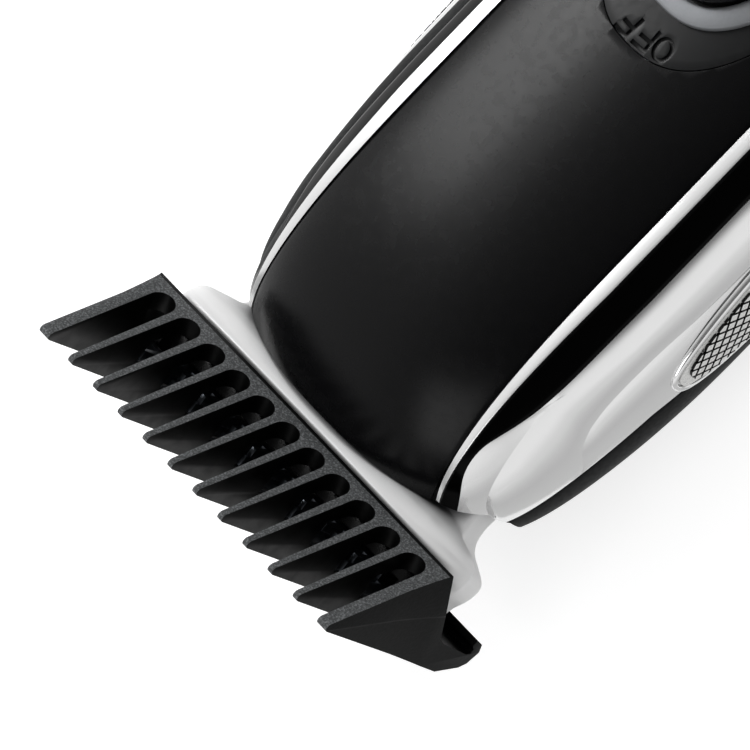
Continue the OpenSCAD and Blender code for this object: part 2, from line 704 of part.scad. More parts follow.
cell_r = cell_dia / 2;
cell_x = cell_r + 0.3;
cell_up = -4.6;
cell_front = centre_screws[0] + 6;
tab_t = 0.3;
board_up = 9.8;
board_half = 9.5;
board_front = 67.5;
board_rear = centre_screws[1] - 8;
module cells(grow) {
    both_sides() at_station(cell_front - grow, cell_up, cell_x)
        along_body(cell_r + grow, cell_len + 2 * grow);
}
module battery_cells() {
    color("#3c8a5a") cells(0);
}
module battery_tabs() {
    tab_h = 5;
    color("#c9cbcd") {
        at_station(cell_front + cell_len + 0.05, cell_up - tab_h / 2, -cell_x - 3)
            cube([2 * cell_x + 6, tab_t, tab_h]);
        both_sides() at_station(cell_front - tab_t - 0.05, cell_up - tab_h / 2, cell_x - 3) {
            cube([6, tab_t, tab_h]);
            translate([1.5, 0, 0]) cube([3, tab_t, board_up - board_t - 0.1 - cell_up + tab_h / 2]);
        }
    }
}
module circuit_board() {
    color("#1f5a3a") difference() {
        at_station(board_front, board_up - board_t, -board_half)
            cube([2 * board_half, board_rear - board_front, board_t]);
        at_station(centre_screws[0], board_up - board_t - 1) cylinder(r = post_r + seat, h = board_t + 2);
    }
}

// ---- frame ----

// The frame's base clears the back shell where that curves up at its two ends.
frame_low = shell_t + 0.4 - axis_z;
frame_half = 4.4;
frame_wall = 2.2;
post_r = 3;
bulkhead_s = motor_front - frame_wall - seat;
// An upright across the body, spreading from the frame's base.
module upright(s, half, top) {
    foot = frame_half + 1.6;
    shoulder = frame_low + 4;
    at_station(s + frame_wall) rotate([90, 0, 0]) linear_extrude(frame_wall)
        polygon([[-foot, frame_low], [foot, frame_low], [half, shoulder], [half, top],
            [-half, top], [-half, shoulder]]);
}
module chassis() {
    frame_end = centre_screws[1] + post_r;
    color("#5b6068") difference() {
        union() {
            at_station(bulkhead_s, frame_low, -frame_half)
                cube([2 * frame_half, frame_end - bulkhead_s, 1.5]);
            upright(bulkhead_s, 10, 8.5);
            upright(motor_front + 5, 12, -3);
            upright(motor_rear - 5, 12, -3);
            upright(cell_front + 5, 12, -7);
            upright(cell_front + cell_len - 8, 12, -7);
            at_station(neck_end + seat, -8, -8) cube([16, bulkhead_s - neck_end, 2.5]);
            for (s = centre_screws) at_station(s, frame_low) {
                cylinder(r = post_r, h = crown_at(s, post_r) - shell_t - seat - frame_low);
                cylinder(r = post_r + 0.8, h = board_up - board_t - seat - frame_low);
            }
        }
        at_station(motor_front - seat) along_body(motor_r + seat, motor_len + 10);
        at_station(neck_end) along_body(4.5, 12);
        cells(seat);
        for (s = centre_screws) at_station(s, frame_low - 1) cylinder(r = 1, h = 9);
        both_sides() at_station(bulkhead_s - 1, 0, motor_screw_x) along_body(0.95, 6);
    }
}

// ---- charging inlet ----

module charge_socket() {
    body_len = socket_depth + 3;
    color("#202123") difference() {
        at_station(socket_rear - body_len) along_body(socket_body_r, body_len);
        at_station(socket_rear - socket_depth) along_body(socket_r, socket_depth + 1);
    }
}
module charge_lens() {
    color("#cfe3d2") at_station(cap_start + 8, lens_up) along_body(lens_r, 7.6);
}

guide_comb();
head_housing();
fixed_blade();
moving_blade();
cutter_yoke();
blade_springs();
blade_screws();
neck_seal();
front_cover();
trim_left();
trim_right();
side_band_left();
side_band_right();
side_panel_left();
side_panel_right();
grip_rim_left();
grip_rim_right();
grip_left();
grip_right();
back_shell();
tail_cap();
switch_plate();
switch_ring();
switch_button();
switch_lever();
slide_switch();
circuit_board();
charge_socket();
charge_lens();
chassis();
motor_can();
motor_end_cap();
motor_bushings();
motor_screws();
motor_shaft();
eccentric_cam();
battery_cells();
battery_tabs();
motor_leads();
housing_screws();
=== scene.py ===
# A cordless hair clipper with a guide comb on its blades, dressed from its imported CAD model.
import math

import bmesh
import bpy
from mathutils import Matrix, Vector


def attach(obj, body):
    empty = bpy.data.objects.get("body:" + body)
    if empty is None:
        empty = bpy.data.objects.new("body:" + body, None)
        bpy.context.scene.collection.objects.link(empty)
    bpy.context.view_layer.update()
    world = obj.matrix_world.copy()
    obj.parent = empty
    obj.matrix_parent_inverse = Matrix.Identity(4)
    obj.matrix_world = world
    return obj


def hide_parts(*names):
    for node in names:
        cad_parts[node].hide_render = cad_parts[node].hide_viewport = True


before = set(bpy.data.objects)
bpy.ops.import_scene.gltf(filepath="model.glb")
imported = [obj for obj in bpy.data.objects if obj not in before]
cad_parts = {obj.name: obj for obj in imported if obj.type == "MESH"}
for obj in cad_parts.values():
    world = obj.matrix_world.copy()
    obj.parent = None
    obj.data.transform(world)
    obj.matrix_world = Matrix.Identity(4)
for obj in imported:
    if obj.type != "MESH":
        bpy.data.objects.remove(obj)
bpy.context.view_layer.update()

# ---- Camera ----
# A long lens looks down on the comb and the front half of the handle, turned so that
# the handle runs off the top right corner.
camera = bpy.data.objects.new("camera", bpy.data.cameras.new("camera"))
bpy.context.scene.collection.objects.link(camera)
bpy.context.scene.camera = camera
aim = Vector((-0.00264, -0.06887, 0.0155))
right = Vector((0.619, 0.693, -0.3697)).normalized()
back = Vector((0.4525, 0.0701, 0.8889)).normalized()
up = back.cross(right).normalized()
distance = 1.6
field = 0.0736
turned = Matrix((up.cross(back), up, back)).transposed().to_4x4()
camera.matrix_world = Matrix.Translation(aim + back * distance) @ turned
camera.data.sensor_width = 36
camera.data.lens = 36 * distance / field
camera.data.clip_end = 10


# ---- Studio ----
# A white table top under a tent that is pale low down and on the left and dark overhead, so
# that the black mouldings stay deep. One soft lamp stands on the left, and a weak one, for
# fill, stands high in front.
def linear(code):
    """An sRGB hex colour as linear RGBA."""
    parts = [int(code[i:i + 2], 16) / 255 for i in (1, 3, 5)]
    return [p / 12.92 if p <= 0.04045 else ((p + 0.055) / 1.055) ** 2.4 for p in parts] + [1]


def add(tree, kind, inputs=None, stops=(), **settings):
    """Adds a node with its settings and colour stops, and links inputs that are sockets."""
    node = tree.nodes.new(kind)
    for key, value in settings.items():
        setattr(node, key, value)
    for key, value in (inputs or {}).items():
        if isinstance(value, bpy.types.NodeSocket):
            tree.links.new(value, node.inputs[key])
        else:
            node.inputs[key].default_value = value
    # A new colour ramp comes with two stops.
    for _ in stops[2:]:
        node.color_ramp.elements.new(0.5)
    for i, (place, code) in enumerate(stops):
        node.color_ramp.elements[i].position = place
        node.color_ramp.elements[i].color = linear(code)
    return node


def seen(tree):
    """1 for camera, glossy and transmission rays, 0 for the rays that light things."""
    path = add(tree, "ShaderNodeLightPath")
    some = add(tree, "ShaderNodeMath", {0: path.outputs["Is Camera Ray"],
                                        1: path.outputs["Is Glossy Ray"]}, operation="MAXIMUM")
    return add(tree, "ShaderNodeMath", {0: some.outputs[0],
                                        1: path.outputs["Is Transmission Ray"]},
               operation="MAXIMUM").outputs[0]


world = bpy.data.worlds.new("tent")
bpy.context.scene.world = world
world.use_nodes = True
tent = world.node_tree
tent.nodes.clear()
sky_way = add(tent, "ShaderNodeTexCoord").outputs["Generated"]
sky_axes = add(tent, "ShaderNodeSeparateXYZ", {"Vector": sky_way}).outputs
by_height = add(tent, "ShaderNodeValToRGB", {"Fac": sky_axes["Z"]},
                stops=[(0.0, "#e0e0e0"), (0.2, "#f8f8f8"), (0.42, "#f6f6f6"), (0.52, "#4a4a4a"),
                       (0.9, "#4a4a4a"), (1.0, "#9a9a9a")])
rightness = add(tent, "ShaderNodeMapRange", {"Value": sky_axes["X"], "From Min": -0.5, "From Max": 0.3})
by_side = add(tent, "ShaderNodeValToRGB", {"Fac": rightness.outputs[0]},
              stops=[(0.0, "#ffffff"), (0.3, "#d0d0d0"), (1.0, "#000000")])
shown_sky = add(tent, "ShaderNodeMix", {0: 1.0, 6: by_height.outputs[0], 7: by_side.outputs[0]},
                data_type="RGBA", blend_type="LIGHTEN")
sky_mix = add(tent, "ShaderNodeMix", {0: seen(tent), 6: linear("#b4b4b4"), 7: shown_sky.outputs[2]},
              data_type="RGBA")
sky = add(tent, "ShaderNodeBackground", {"Color": sky_mix.outputs[2], "Strength": 1.0})
add(tent, "ShaderNodeOutputWorld", {"Surface": sky.outputs[0]})


def empty_material(name):
    """A material and its node tree, which is still empty."""
    made = bpy.data.materials.new(name)
    made.use_nodes = True
    made.node_tree.nodes.clear()
    return made, made.node_tree


def flat_sheet(name, material, left, right, reach, height):
    """A level rectangle from one X to another, reach metres to the front and the back."""
    mesh = bpy.data.meshes.new(name)
    mesh.from_pydata([(left, -reach, height), (right, -reach, height), (right, reach, height),
                      (left, reach, height)], [], [(0, 1, 2, 3)])
    mesh.materials.append(material)
    sheet = bpy.data.objects.new(name, mesh)
    bpy.context.scene.collection.objects.link(sheet)
    return sheet


table, tree = empty_material("white_laminate_table")
laminate = add(tree, "ShaderNodeBsdfDiffuse", {"Color": linear("#cfcfcf")})
shine = add(tree, "ShaderNodeEmission", {"Color": linear("#ffffff"), "Strength": 0.72})
dull = add(tree, "ShaderNodeEmission", {"Color": linear("#000000"), "Strength": 0})
lift = add(tree, "ShaderNodeMixShader", {0: seen(tree), 1: dull.outputs[0], 2: shine.outputs[0]})
both = add(tree, "ShaderNodeAddShader", {0: laminate.outputs[0], 1: lift.outputs[0]})
add(tree, "ShaderNodeOutputMaterial", {"Surface": both.outputs[0]})
floor = flat_sheet("table_top", table, -3, 3, 3, 0)
# A glowing grey sheet lies right of the clipper, out of the camera's view and seen only in
# reflections: it paints a grey reflection into the chrome. It is darkest near the clipper.
reflection_edge, reflection_pale = 0.03, 0.36
reflection_glow, tree = empty_material("grey_reflection_glow")
place = add(tree, "ShaderNodeTexCoord").outputs["Object"]
across_reflection = add(tree, "ShaderNodeSeparateXYZ", {"Vector": place}).outputs["X"]
fade = add(tree, "ShaderNodeMapRange", {"Value": across_reflection, "From Min": reflection_edge,
                                        "From Max": reflection_pale}).outputs[0]
greys = add(tree, "ShaderNodeValToRGB", {"Fac": fade},
            stops=[(0, "#cacaca"), (0.08, "#bebebe"), (0.2, "#cccccc"), (0.5, "#dcdcdc"), (1, "#e0e0e0")])
# This glow, seen only in reflections, is a painted grey reflection.
glow = add(tree, "ShaderNodeEmission", {"Color": greys.outputs[0]})
add(tree, "ShaderNodeOutputMaterial", {"Surface": glow.outputs[0]})
reflection_sheet = flat_sheet("grey_reflection_sheet", reflection_glow, reflection_edge, 3, 1.5, 0.0005)
reflection_sheet.visible_camera = False
reflection_sheet.visible_diffuse = False
reflection_sheet.visible_shadow = False


def lamp(name, place, wide, tall, power):
    """A soft lamp that faces the comb, with its size in metres and its power in watts."""
    light = bpy.data.lights.new(name, "AREA")
    light.shape = "RECTANGLE"
    light.size, light.size_y = wide, tall
    light.energy = power
    holder = bpy.data.objects.new(name, light)
    bpy.context.scene.collection.objects.link(holder)
    holder.location = place
    holder.rotation_euler = (aim - Vector(place)).to_track_quat("-Z", "Y").to_euler()


lamp("left_strip_box", (-0.70, -0.02, 0.66), 0.09, 0.6, 4.8)
lamp("overhead_fill", (0.25, -0.75, 0.75), 0.5, 0.5, 2.0)
bpy.context.scene.view_settings.view_transform = "Standard"


# ---- Guide comb ----
# A clip-on comb of eleven slots, moulded in one piece from dark grey glass-filled nylon.
# The tool is spark-eroded on the face that shows, so the teeth look finely grainy there.
def finish_of(name, colour, metallic=0.0, roughness=0.5, **sockets):
    """A material with its shader, ready for its pattern."""
    made, tree = empty_material(name)
    shader = add(tree, "ShaderNodeBsdfPrincipled",
                 {"Base Color": linear(colour), "Metallic": metallic, "Roughness": roughness})
    for key, value in sockets.items():
        shader.inputs[key.replace("_", " ")].default_value = value
    add(tree, "ShaderNodeOutputMaterial", {"Surface": shader.outputs[0]})
    return made, tree, shader


def grain(tree, size, detail=3.0, stretch=(1, 1, 1)):
    """A mottled pattern whose features are about size millimetres across."""
    place = add(tree, "ShaderNodeTexCoord").outputs["Object"]
    mapped = add(tree, "ShaderNodeMapping", {"Vector": place, "Scale": stretch})
    return add(tree, "ShaderNodeTexNoise", {"Vector": mapped.outputs[0], "Scale": 1000 / size,
                                            "Detail": detail}).outputs["Fac"]


def rough_skin(tree, shader, pattern, depth):
    """The pattern as relief, depth in millimetres."""
    relief = add(tree, "ShaderNodeBump", {"Height": pattern, "Distance": depth / 1000})
    tree.links.new(relief.outputs[0], shader.inputs["Normal"])


def vary(tree, shader, pattern, low, high):
    """The pattern as a change of roughness between two values."""
    spread = add(tree, "ShaderNodeMapRange", {"Value": pattern, "From Min": 0.3, "From Max": 0.7,
                                              "To Min": low, "To Max": high})
    tree.links.new(spread.outputs[0], shader.inputs["Roughness"])


def tint(tree, shader, pattern, stops):
    """The pattern as a change of colour, over stops of (value, hex colour)."""
    colours = add(tree, "ShaderNodeValToRGB", {"Fac": pattern}, stops)
    tree.links.new(colours.outputs[0], shader.inputs["Base Color"])


def placed(name, mesh, body, *stands_for):
    """A finished mesh as a piece on a body, in place of CAD nodes if it stands for any."""
    piece = bpy.data.objects.new(name, mesh)
    bpy.context.scene.collection.objects.link(piece)
    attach(piece, body)
    if stands_for:
        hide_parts(*stands_for)
    return piece


def evaluated(thing):
    """The plain mesh of an object with its modifiers, after which the object is gone."""
    mesh = bpy.data.meshes.new_from_object(
        thing.evaluated_get(bpy.context.evaluated_depsgraph_get()))
    thing.modifiers.clear()
    bpy.data.objects.remove(thing)
    return mesh


def made_piece(name, form, materials, body, *stands_for, edge=0.0, sharp=40, steps=2, crease=None):
    """A closed form as a finished piece, with edges past sharp degrees rounded by edge mm."""
    mesh = bpy.data.meshes.new(name)
    form.to_mesh(mesh)
    form.free()
    rough = bpy.data.objects.new(name, mesh)
    bpy.context.scene.collection.objects.link(rough)
    if edge:
        rounding = rough.modifiers.new("rounded_edges", "BEVEL")
        rounding.width = edge / 1000
        rounding.segments = steps
        rounding.limit_method = "ANGLE"
        rounding.angle_limit = math.radians(sharp)
    final = evaluated(rough)
    final.shade_smooth()
    final.set_sharp_from_angle(angle=math.radians(crease or sharp))
    for material in materials if isinstance(materials, tuple) else (materials,):
        final.materials.append(material)
    return placed(name, final, body, *stands_for)


def merged_copy(node):
    """A CAD solid's mesh with its points merged and its flat faces joined."""
    form = bmesh.new()
    form.from_mesh(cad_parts[node].data)
    bmesh.ops.remove_doubles(form, verts=form.verts, dist=2e-6)
    bmesh.ops.dissolve_limit(form, angle_limit=math.radians(0.5), verts=form.verts, edges=form.edges)
    for face in form.faces:
        face.material_index = 0
    return form


length, depth = 176.0, 31.0
axis_up = depth / 2


def at(x, s, rise):
    """Metres for an X, a station from the comb's tips and a height above the long axis."""
    return Vector((x, s - length / 2, axis_up + rise)) / 1000


def sliced(form, point, way, faces=None):
    """Cuts new edges where a plane crosses the form, or only those faces of it."""
    chosen = set(faces or form.faces)
    edges = {e for f in chosen for e in f.edges}
    verts = {v for f in chosen for v in f.verts}
    bmesh.ops.bisect_plane(form, geom=list(chosen | edges | verts), plane_co=point, plane_no=way)


eroded, tree, shader = finish_of("glass_filled_nylon_spark_eroded", "#48494a", roughness=0.6,
                                 Specular_IOR_Level=0.35)
# Grit of about 0.2 mm, somewhat over the real size so that it shows.
speck = grain(tree, 0.2)
tint(tree, shader, speck, [(0.3, "#343536"), (0.5, "#484a4b"), (0.68, "#747678")])
rough_skin(tree, shader, speck, 0.05)
# Between the teeth and on the clip the tool is polished, and there the nylon is painted deep black, as
# painted shade.
slot_painted_shade, tree, shader = finish_of("glass_filled_nylon_polished_painted_shade", "#020202", roughness=0.4,
                                Specular_IOR_Level=0.12)
vary(tree, shader, grain(tree, 1.5), 0.35, 0.5)
# The end walls draw out of the tool, so their grain is shallower and looks satin. They are painted darker
# than the face that shows, as painted shade.
drawn, tree, shader = finish_of("glass_filled_nylon_satin_painted_shade", "#0c0d0d", roughness=0.65,
                                Specular_IOR_Level=0.12)
speck = grain(tree, 0.35)
tint(tree, shader, speck, [(0.35, "#080909"), (0.65, "#101111")])
rough_skin(tree, shader, speck, 0.02)

comb_half, end_wall, slots, spacing = 23.1, 1.85, 11, 3.95
comb_rear, slope = (11.7, 8.5), math.radians(45.54)
lip, groove, drawn_in, draw_run = 0.4, 0.16, 0.45, 5.4
thinned, thin_from, thin_run, tips_above = 0.3, 3.5, 9, 19
wall_middle = (comb_half - end_wall / 2) / 1000
down_slope = Vector((0, math.cos(slope), -math.sin(slope)))
comb_form = merged_copy("guide_comb")
# New rows of edges let the end walls bend.
for run in (lip, 1.2, 2.4, 3.8, draw_run):
    sliced(comb_form, at(0, *comb_rear) - down_slope * run / 1000, down_slope)


def before_rear(place):
    """Distance up the sloping face from its rear edge, in millimetres."""
    return (at(0, *comb_rear) - place).dot(down_slope) * 1000


# The end walls draw in from their rear corners, and the teeth thin out towards their tips.
for vert in comb_form.verts:
    x, run = vert.co.x * 1000, before_rear(vert.co)
    tooth = round(x / spacing + 0.5) - 0.5
    if abs(x) > comb_half - 0.05:
        x -= math.copysign(drawn_in * min(1, max(0, run / draw_run)) ** 0.6, x)
    elif abs(x) < comb_half - end_wall - 0.05 and abs(tooth) < slots / 2:
        share = 1 - thinned * min(1, max(0, (run - thin_from) / thin_run))
        x = tooth * spacing + (x - tooth * spacing) * share
    vert.co.x = x / 1000
# A fine moulded groove runs down each end wall to the notch behind it.
groove_top, groove_foot = at(0, 1.3, 16.8), at(0, 7.95, 3.77)
beside = (groove_foot - groove_top).cross(Vector((1, 0, 0))).normalized()
for shift in (-groove / 2, groove / 2):
    walls = [face for face in comb_form.faces
             if abs(face.normal.x) > 0.9 and abs(face.calc_center_median().x) > wall_middle]
    sliced(comb_form, groove_top + beside * shift / 1000, beside, walls)
# The end walls are satin, the face that shows and the tips are grainy, the rest is polished. All but the
# face that shows and the tips are painted darker than the nylon, as painted shade.
for face in comb_form.faces:
    middle, way = face.calc_center_median(), face.normal
    if abs(way.x) > 0.5 and abs(middle.x) > wall_middle:
        in_groove = abs((middle - groove_top).dot(beside)) < groove / 2000
        face.material_index = 1 if in_groove else 2
    elif middle.z > at(0, 0, tips_above).z or way.z > 0.5 and way.y > 0.4 and before_rear(middle) > lip:
        face.material_index = 0
    else:
        face.material_index = 1
comb = made_piece("comb", comb_form, (eroded, slot_painted_shade, drawn), "comb", "guide_comb", edge=0.16, steps=3)

# ---- Blades ----
# Two toothed plates, one fixed and one sliding behind it, punched from carbon steel and ground
# on their faces, which leaves fine lines across them. Their steel is painted dark, as painted
# shade where they lie under the comb's slots.
shade_darkened_steel, tree, shader = finish_of("ground_carbon_steel_painted_dark", "#505459", metallic=1.0, roughness=0.32)
lines = grain(tree, 0.6, 4.0, stretch=(0.05, 1, 6))
vary(tree, shader, lines, 0.26, 0.42)
rough_skin(tree, shader, lines, 0.01)


def cad_copy(name, node, finish, body, edge):
    """A CAD node in its own shape, with its edges rounded by edge millimetres."""
    made_piece(name, merged_copy(node), finish, body, node, edge=edge)


cad_copy("blade_fixed", "fixed_blade", shade_darkened_steel, "body", 0.05)
cad_copy("blade_moving", "moving_blade", shade_darkened_steel, "cutter", 0.05)

# ---- Yoke, cam and lever ----
# White acetal mouldings: the yoke that carries the sliding blade, the cam with its pin,
# the motor's end cap and the switch lever. They are smooth and slightly waxy.
acetal, tree, shader = finish_of("white_acetal_moulded", "#e4e1d8", roughness=0.35)
mottle = grain(tree, 2.5)
vary(tree, shader, mottle, 0.3, 0.42)
tint(tree, shader, mottle, [(0.3, "#dedbd1"), (0.7, "#e8e6de")])
for name, node, body in (("yoke", "cutter_yoke", "cutter"), ("cam_and_pin", "eccentric_cam", "rotor"),
                         ("motor_cap", "motor_end_cap", "body"), ("lever", "switch_lever", "switch")):
    cad_copy(name, node, acetal, body, 0.15)

# ---- Screws ----
# Pan-head screws with a cross recess, zinc-plated: four hold the back shell and two the
# fixed blade. The plating clouds them faintly.
zinc, tree, shader = finish_of("zinc_plated_steel", "#a9acb0", metallic=1.0, roughness=0.3)
cloud = grain(tree, 1.2)
vary(tree, shader, cloud, 0.22, 0.4)
rough_skin(tree, shader, cloud, 0.01)


def node_group(name, sizes):
    """A geometry tree with named sizes as inputs, and its group input node."""
    group = bpy.data.node_groups.new(name, "GeometryNodeTree")
    group.interface.new_socket("Geometry", in_out="INPUT", socket_type="NodeSocketGeometry")
    for size in sizes:
        group.interface.new_socket(size, in_out="INPUT", socket_type="NodeSocketFloat")
    group.interface.new_socket("Geometry", in_out="OUTPUT", socket_type="NodeSocketGeometry")
    return group, add(group, "NodeGroupInput")


def placed_copies(group, source, shape, material):
    """Ends a tree: the shape on every point, turned by its facing and along, as a plain mesh."""
    facing, along = (add(group, "GeometryNodeInputNamedAttribute", {"Name": name},
                         data_type="FLOAT_VECTOR").outputs["Attribute"] for name in ("facing", "along"))
    turn = add(group, "FunctionNodeAxesToRotation", {"Primary Axis": facing, "Secondary Axis": along},
               primary_axis="Z", secondary_axis="X")
    spread = add(group, "GeometryNodeInstanceOnPoints", {"Points": source.outputs["Geometry"],
                                                         "Instance": shape, "Rotation": turn.outputs[0]})
    real = add(group, "GeometryNodeRealizeInstances", {"Geometry": spread.outputs[0]})
    done = add(group, "GeometryNodeSetMaterial", {"Geometry": real.outputs[0], "Material": material})
    add(group, "NodeGroupOutput", {"Geometry": done.outputs[0]})


def repeated(name, places, group, sizes):
    """The tree's shape at each of the places, which are (point, facing, along), as one mesh."""
    seeds = bpy.data.meshes.new(name)
    seeds.from_pydata([tuple(p / 1000) for p, _, _ in places], [], [])
    for label, index in (("facing", 1), ("along", 2)):
        ways = seeds.attributes.new(label, "FLOAT_VECTOR", "POINT")
        ways.data.foreach_set("vector", [c for place in places for c in place[index]])
    holder = bpy.data.objects.new(name, seeds)
    bpy.context.scene.collection.objects.link(holder)
    step = holder.modifiers.new(group.name, "NODES")
    step.node_group = group
    for item in group.interface.items_tree:
        if item.in_out == "INPUT" and item.name in sizes:
            step[item.identifier] = sizes[item.name] / 1000
    mesh = evaluated(holder)
    mesh.set_sharp_from_angle(angle=math.radians(35))
    return mesh


screw, source = node_group("cross_head_screw", ("Head radius", "Head height", "Shank radius",
                                                "Shank length"))
head_r, head_h, shank_r, shank_l = (source.outputs[i] for i in (1, 2, 3, 4))
# The other measures are shares of these.
face_r, drop, arm_long, arm_wide, arm_deep, half_shank, bite = (
    add(screw, "ShaderNodeMath", {0: whole, 1: share}, operation="MULTIPLY").outputs[0]
    for whole, share in ((head_r, 0.86), (head_h, -1.0), (head_r, 1.1), (head_r, 0.26), (head_h, 1.2),
                         (shank_l, -0.5), (head_h, 0.9)))
pan = add(screw, "GeometryNodeMeshCone", {"Vertices": 40, "Side Segments": 1, "Radius Top": face_r,
                                          "Radius Bottom": head_r, "Depth": head_h})
sunk = add(screw, "ShaderNodeCombineXYZ", {"Z": drop})
head = add(screw, "GeometryNodeTransform", {"Geometry": pan.outputs["Mesh"],
                                            "Translation": sunk.outputs[0]})
size = add(screw, "ShaderNodeCombineXYZ", {"X": arm_long, "Y": arm_wide, "Z": arm_deep})
arms = add(screw, "GeometryNodeJoinGeometry")
for turn in (0, math.pi / 2):
    arm = add(screw, "GeometryNodeMeshCube", {"Size": size.outputs[0]})
    arm = add(screw, "GeometryNodeTransform", {"Geometry": arm.outputs["Mesh"],
                                               "Rotation": (0, 0, turn)})
    screw.links.new(arm.outputs[0], arms.inputs[0])
recessed = add(screw, "GeometryNodeMeshBoolean", {"Mesh 1": head.outputs[0], "Mesh 2": arms.outputs[0]},
               operation="DIFFERENCE")
rod = add(screw, "GeometryNodeMeshCylinder", {"Vertices": 24, "Radius": shank_r, "Depth": shank_l})
down = add(screw, "ShaderNodeMath", {0: half_shank, 1: bite}, operation="SUBTRACT")
below = add(screw, "ShaderNodeCombineXYZ", {"Z": down.outputs[0]})
rod = add(screw, "GeometryNodeTransform", {"Geometry": rod.outputs["Mesh"],
                                           "Translation": below.outputs[0]})
joined = add(screw, "GeometryNodeJoinGeometry", {0: recessed.outputs[0]})
screw.links.new(rod.outputs[0], joined.inputs[0])
placed_copies(screw, source, joined.outputs[0], zinc)


def screws(name, node, places, head_radius):
    """The screws of one CAD node at their places."""
    mesh = repeated(name, places, screw, {"Head radius": head_radius, "Head height": 0.6,
                                          "Shank radius": 0.95, "Shank length": 5.4})
    placed(name, mesh, "body", node)


# For each screw in the back: X, station, the height of its head's face, the top of its well.
back_screws = ((0, 71, 0.2, 0.9), (0, 147, 0.2, 0.9), (6.5, 23.5, 2.65, 3.3), (-6.5, 23.5, 2.65, 3.3))
cross_way = Vector((1, 0.4, 0)).normalized()
screws("screws_back", "housing_screws",
       [(at(x, s, head_face - axis_up) * 1000, Vector((0, 0, -1)), cross_way)
        for x, s, head_face, _ in back_screws], 2.5)
# The blades stand on the neck and lean forwards by nine degrees.
lean = Matrix.Rotation(math.radians(9), 3, "X")
blade_foot = at(0, 6.5, -4.7) * 1000
screws("screws_blade", "blade_screws",
       [(blade_foot + lean @ Vector((x, 0.03, 4.2)), lean @ Vector((0, -1, 0)), lean @ Vector((1, 0, 0.5)))
        for x in (17.5, -17.5)], 1.7)

# ---- Springs, motor and tabs ----
# Two leaf springs press the sliding blade on. Like the screws above, they are plated, and so
# are the motor's drawn can, shaft and screws, the slide switch's case and the cells' tabs.
for name, node, body, slot in (("leaf_springs", "blade_springs", "body", "spring_steel"),
                               ("motor_screw_pair", "motor_screws", "body", "screw_steel"),
                               ("motor_body", "motor_can", "body", "can_steel"),
                               ("shaft", "motor_shaft", "rotor", "can_steel"),
                               ("switch_body", "slide_switch", "body", "can_steel"),
                               ("cell_tabs", "battery_tabs", "body", "nickel_strip")):
    cad_copy(name, node, zinc, body, 0.06)

# ---- Front cover ----
# One ABS moulding with an oval opening for the switch plate. Its satin black lacquer has a
# very slight orange peel, which softens reflections. All the handle's shells share one
# surface, superelliptical across and tapering to the neck and the tail.
width, wall, seam, cover_half = 45.8, 1.6, 0.12, 14.5
cap_start = length - 18
top_power, under_power = 2.3, 2.1


def span(s, start, end):
    """0 up to the start, and from there a straight rise through 1 at the end."""
    return max(0.0, (s - start) / (end - start))


def taper(s):
    """How far a station is into the taper at the neck and into the one at the tail."""
    return span(-s, -46, -15), span(s, 105, length)


def half_width(s):
    """Half the handle's width, less what it loses towards the neck and the tail."""
    front, rear = taper(s)
    return width / 2 - 3.9 * front ** 2 - 2.6 * front ** 12 - 3.6 * rear ** 2


def crown(s):
    """The handle's height over the long axis."""
    front, rear = taper(s)
    return axis_up - 5.85 * front ** 4 - 2.6 * rear ** 2


def belly(s):
    """The handle's depth under the long axis, before its back is cut flat."""
    front, rear = taper(s)
    return axis_up + 0.8 - 6 * front ** 3 - 2.2 * rear ** 2


def skin(s, a):
    """The point at a station from the comb's tips and an angle in degrees from the crown."""
    sine, cosine = math.sin(math.radians(a)), math.cos(math.radians(a))
    power = top_power if cosine > 0 else under_power
    x = half_width(s) * math.copysign(abs(sine) ** (2 / power), sine)
    z = (crown(s) if cosine > 0 else -belly(s)) * abs(cosine) ** (2 / power)
    return Vector((x, s - length / 2, max(0.0, axis_up + z)))


def outward(s, a):
    """The way out of the skin at that point."""
    along = skin(s + 0.3, a) - skin(s - 0.3, a)
    around = skin(s, a + 1) - skin(s, a - 1)
    return around.cross(along).normalized()


def angle_at_x(s, x):
    """The skin's angle from the crown at an X."""
    return math.degrees(math.asin(min(1, (x / half_width(s)) ** (top_power / 2))))


def front_edge(a):
    """The station where the shells start, foremost at the crown and further back below it."""
    c = math.cos(math.radians(a))
    return 13.2 + 5.4 * min(1, 1 - c) ** 1.4 + 1.4 * max(0, -c) ** 1.5


def closed_form(outer, inner, ring=False):
    """A closed mesh between two grids of points in millimetres. ring joins each row's ends."""
    form = bmesh.new()
    grids = [[[form.verts.new(p / 1000) for p in row] for row in grid] for grid in (outer, inner)]
    rows, cols = len(outer), len(outer[0])
    wrap = cols if ring else cols - 1
    for grid in grids:
        for i in range(rows - 1):
            for j in range(wrap):
                k = (j + 1) % cols
                form.faces.new((grid[i][j], grid[i][k], grid[i + 1][k], grid[i + 1][j]))
    for i in (0, rows - 1):
        for j in range(wrap):
            k = (j + 1) % cols
            form.faces.new((grids[0][i][j], grids[0][i][k], grids[1][i][k], grids[1][i][j]))
    if not ring:
        for j in (0, cols - 1):
            for i in range(rows - 1):
                form.faces.new((grids[0][i][j], grids[0][i + 1][j], grids[1][i + 1][j], grids[1][i][j]))
    bmesh.ops.recalc_face_normals(form, faces=form.faces)
    return form


def edge_line(angle):
    """A shell's edge from the nose to the tail cap: its angle depends on the station."""
    def place(u):
        s = 17.0
        # The station and the angle hang on each other, and a few rounds settle them.
        for _ in range(4):
            start = front_edge(angle(s))
            s = start + (cap_start - seam - start) * u ** 1.5
        return s, angle(s)
    return place


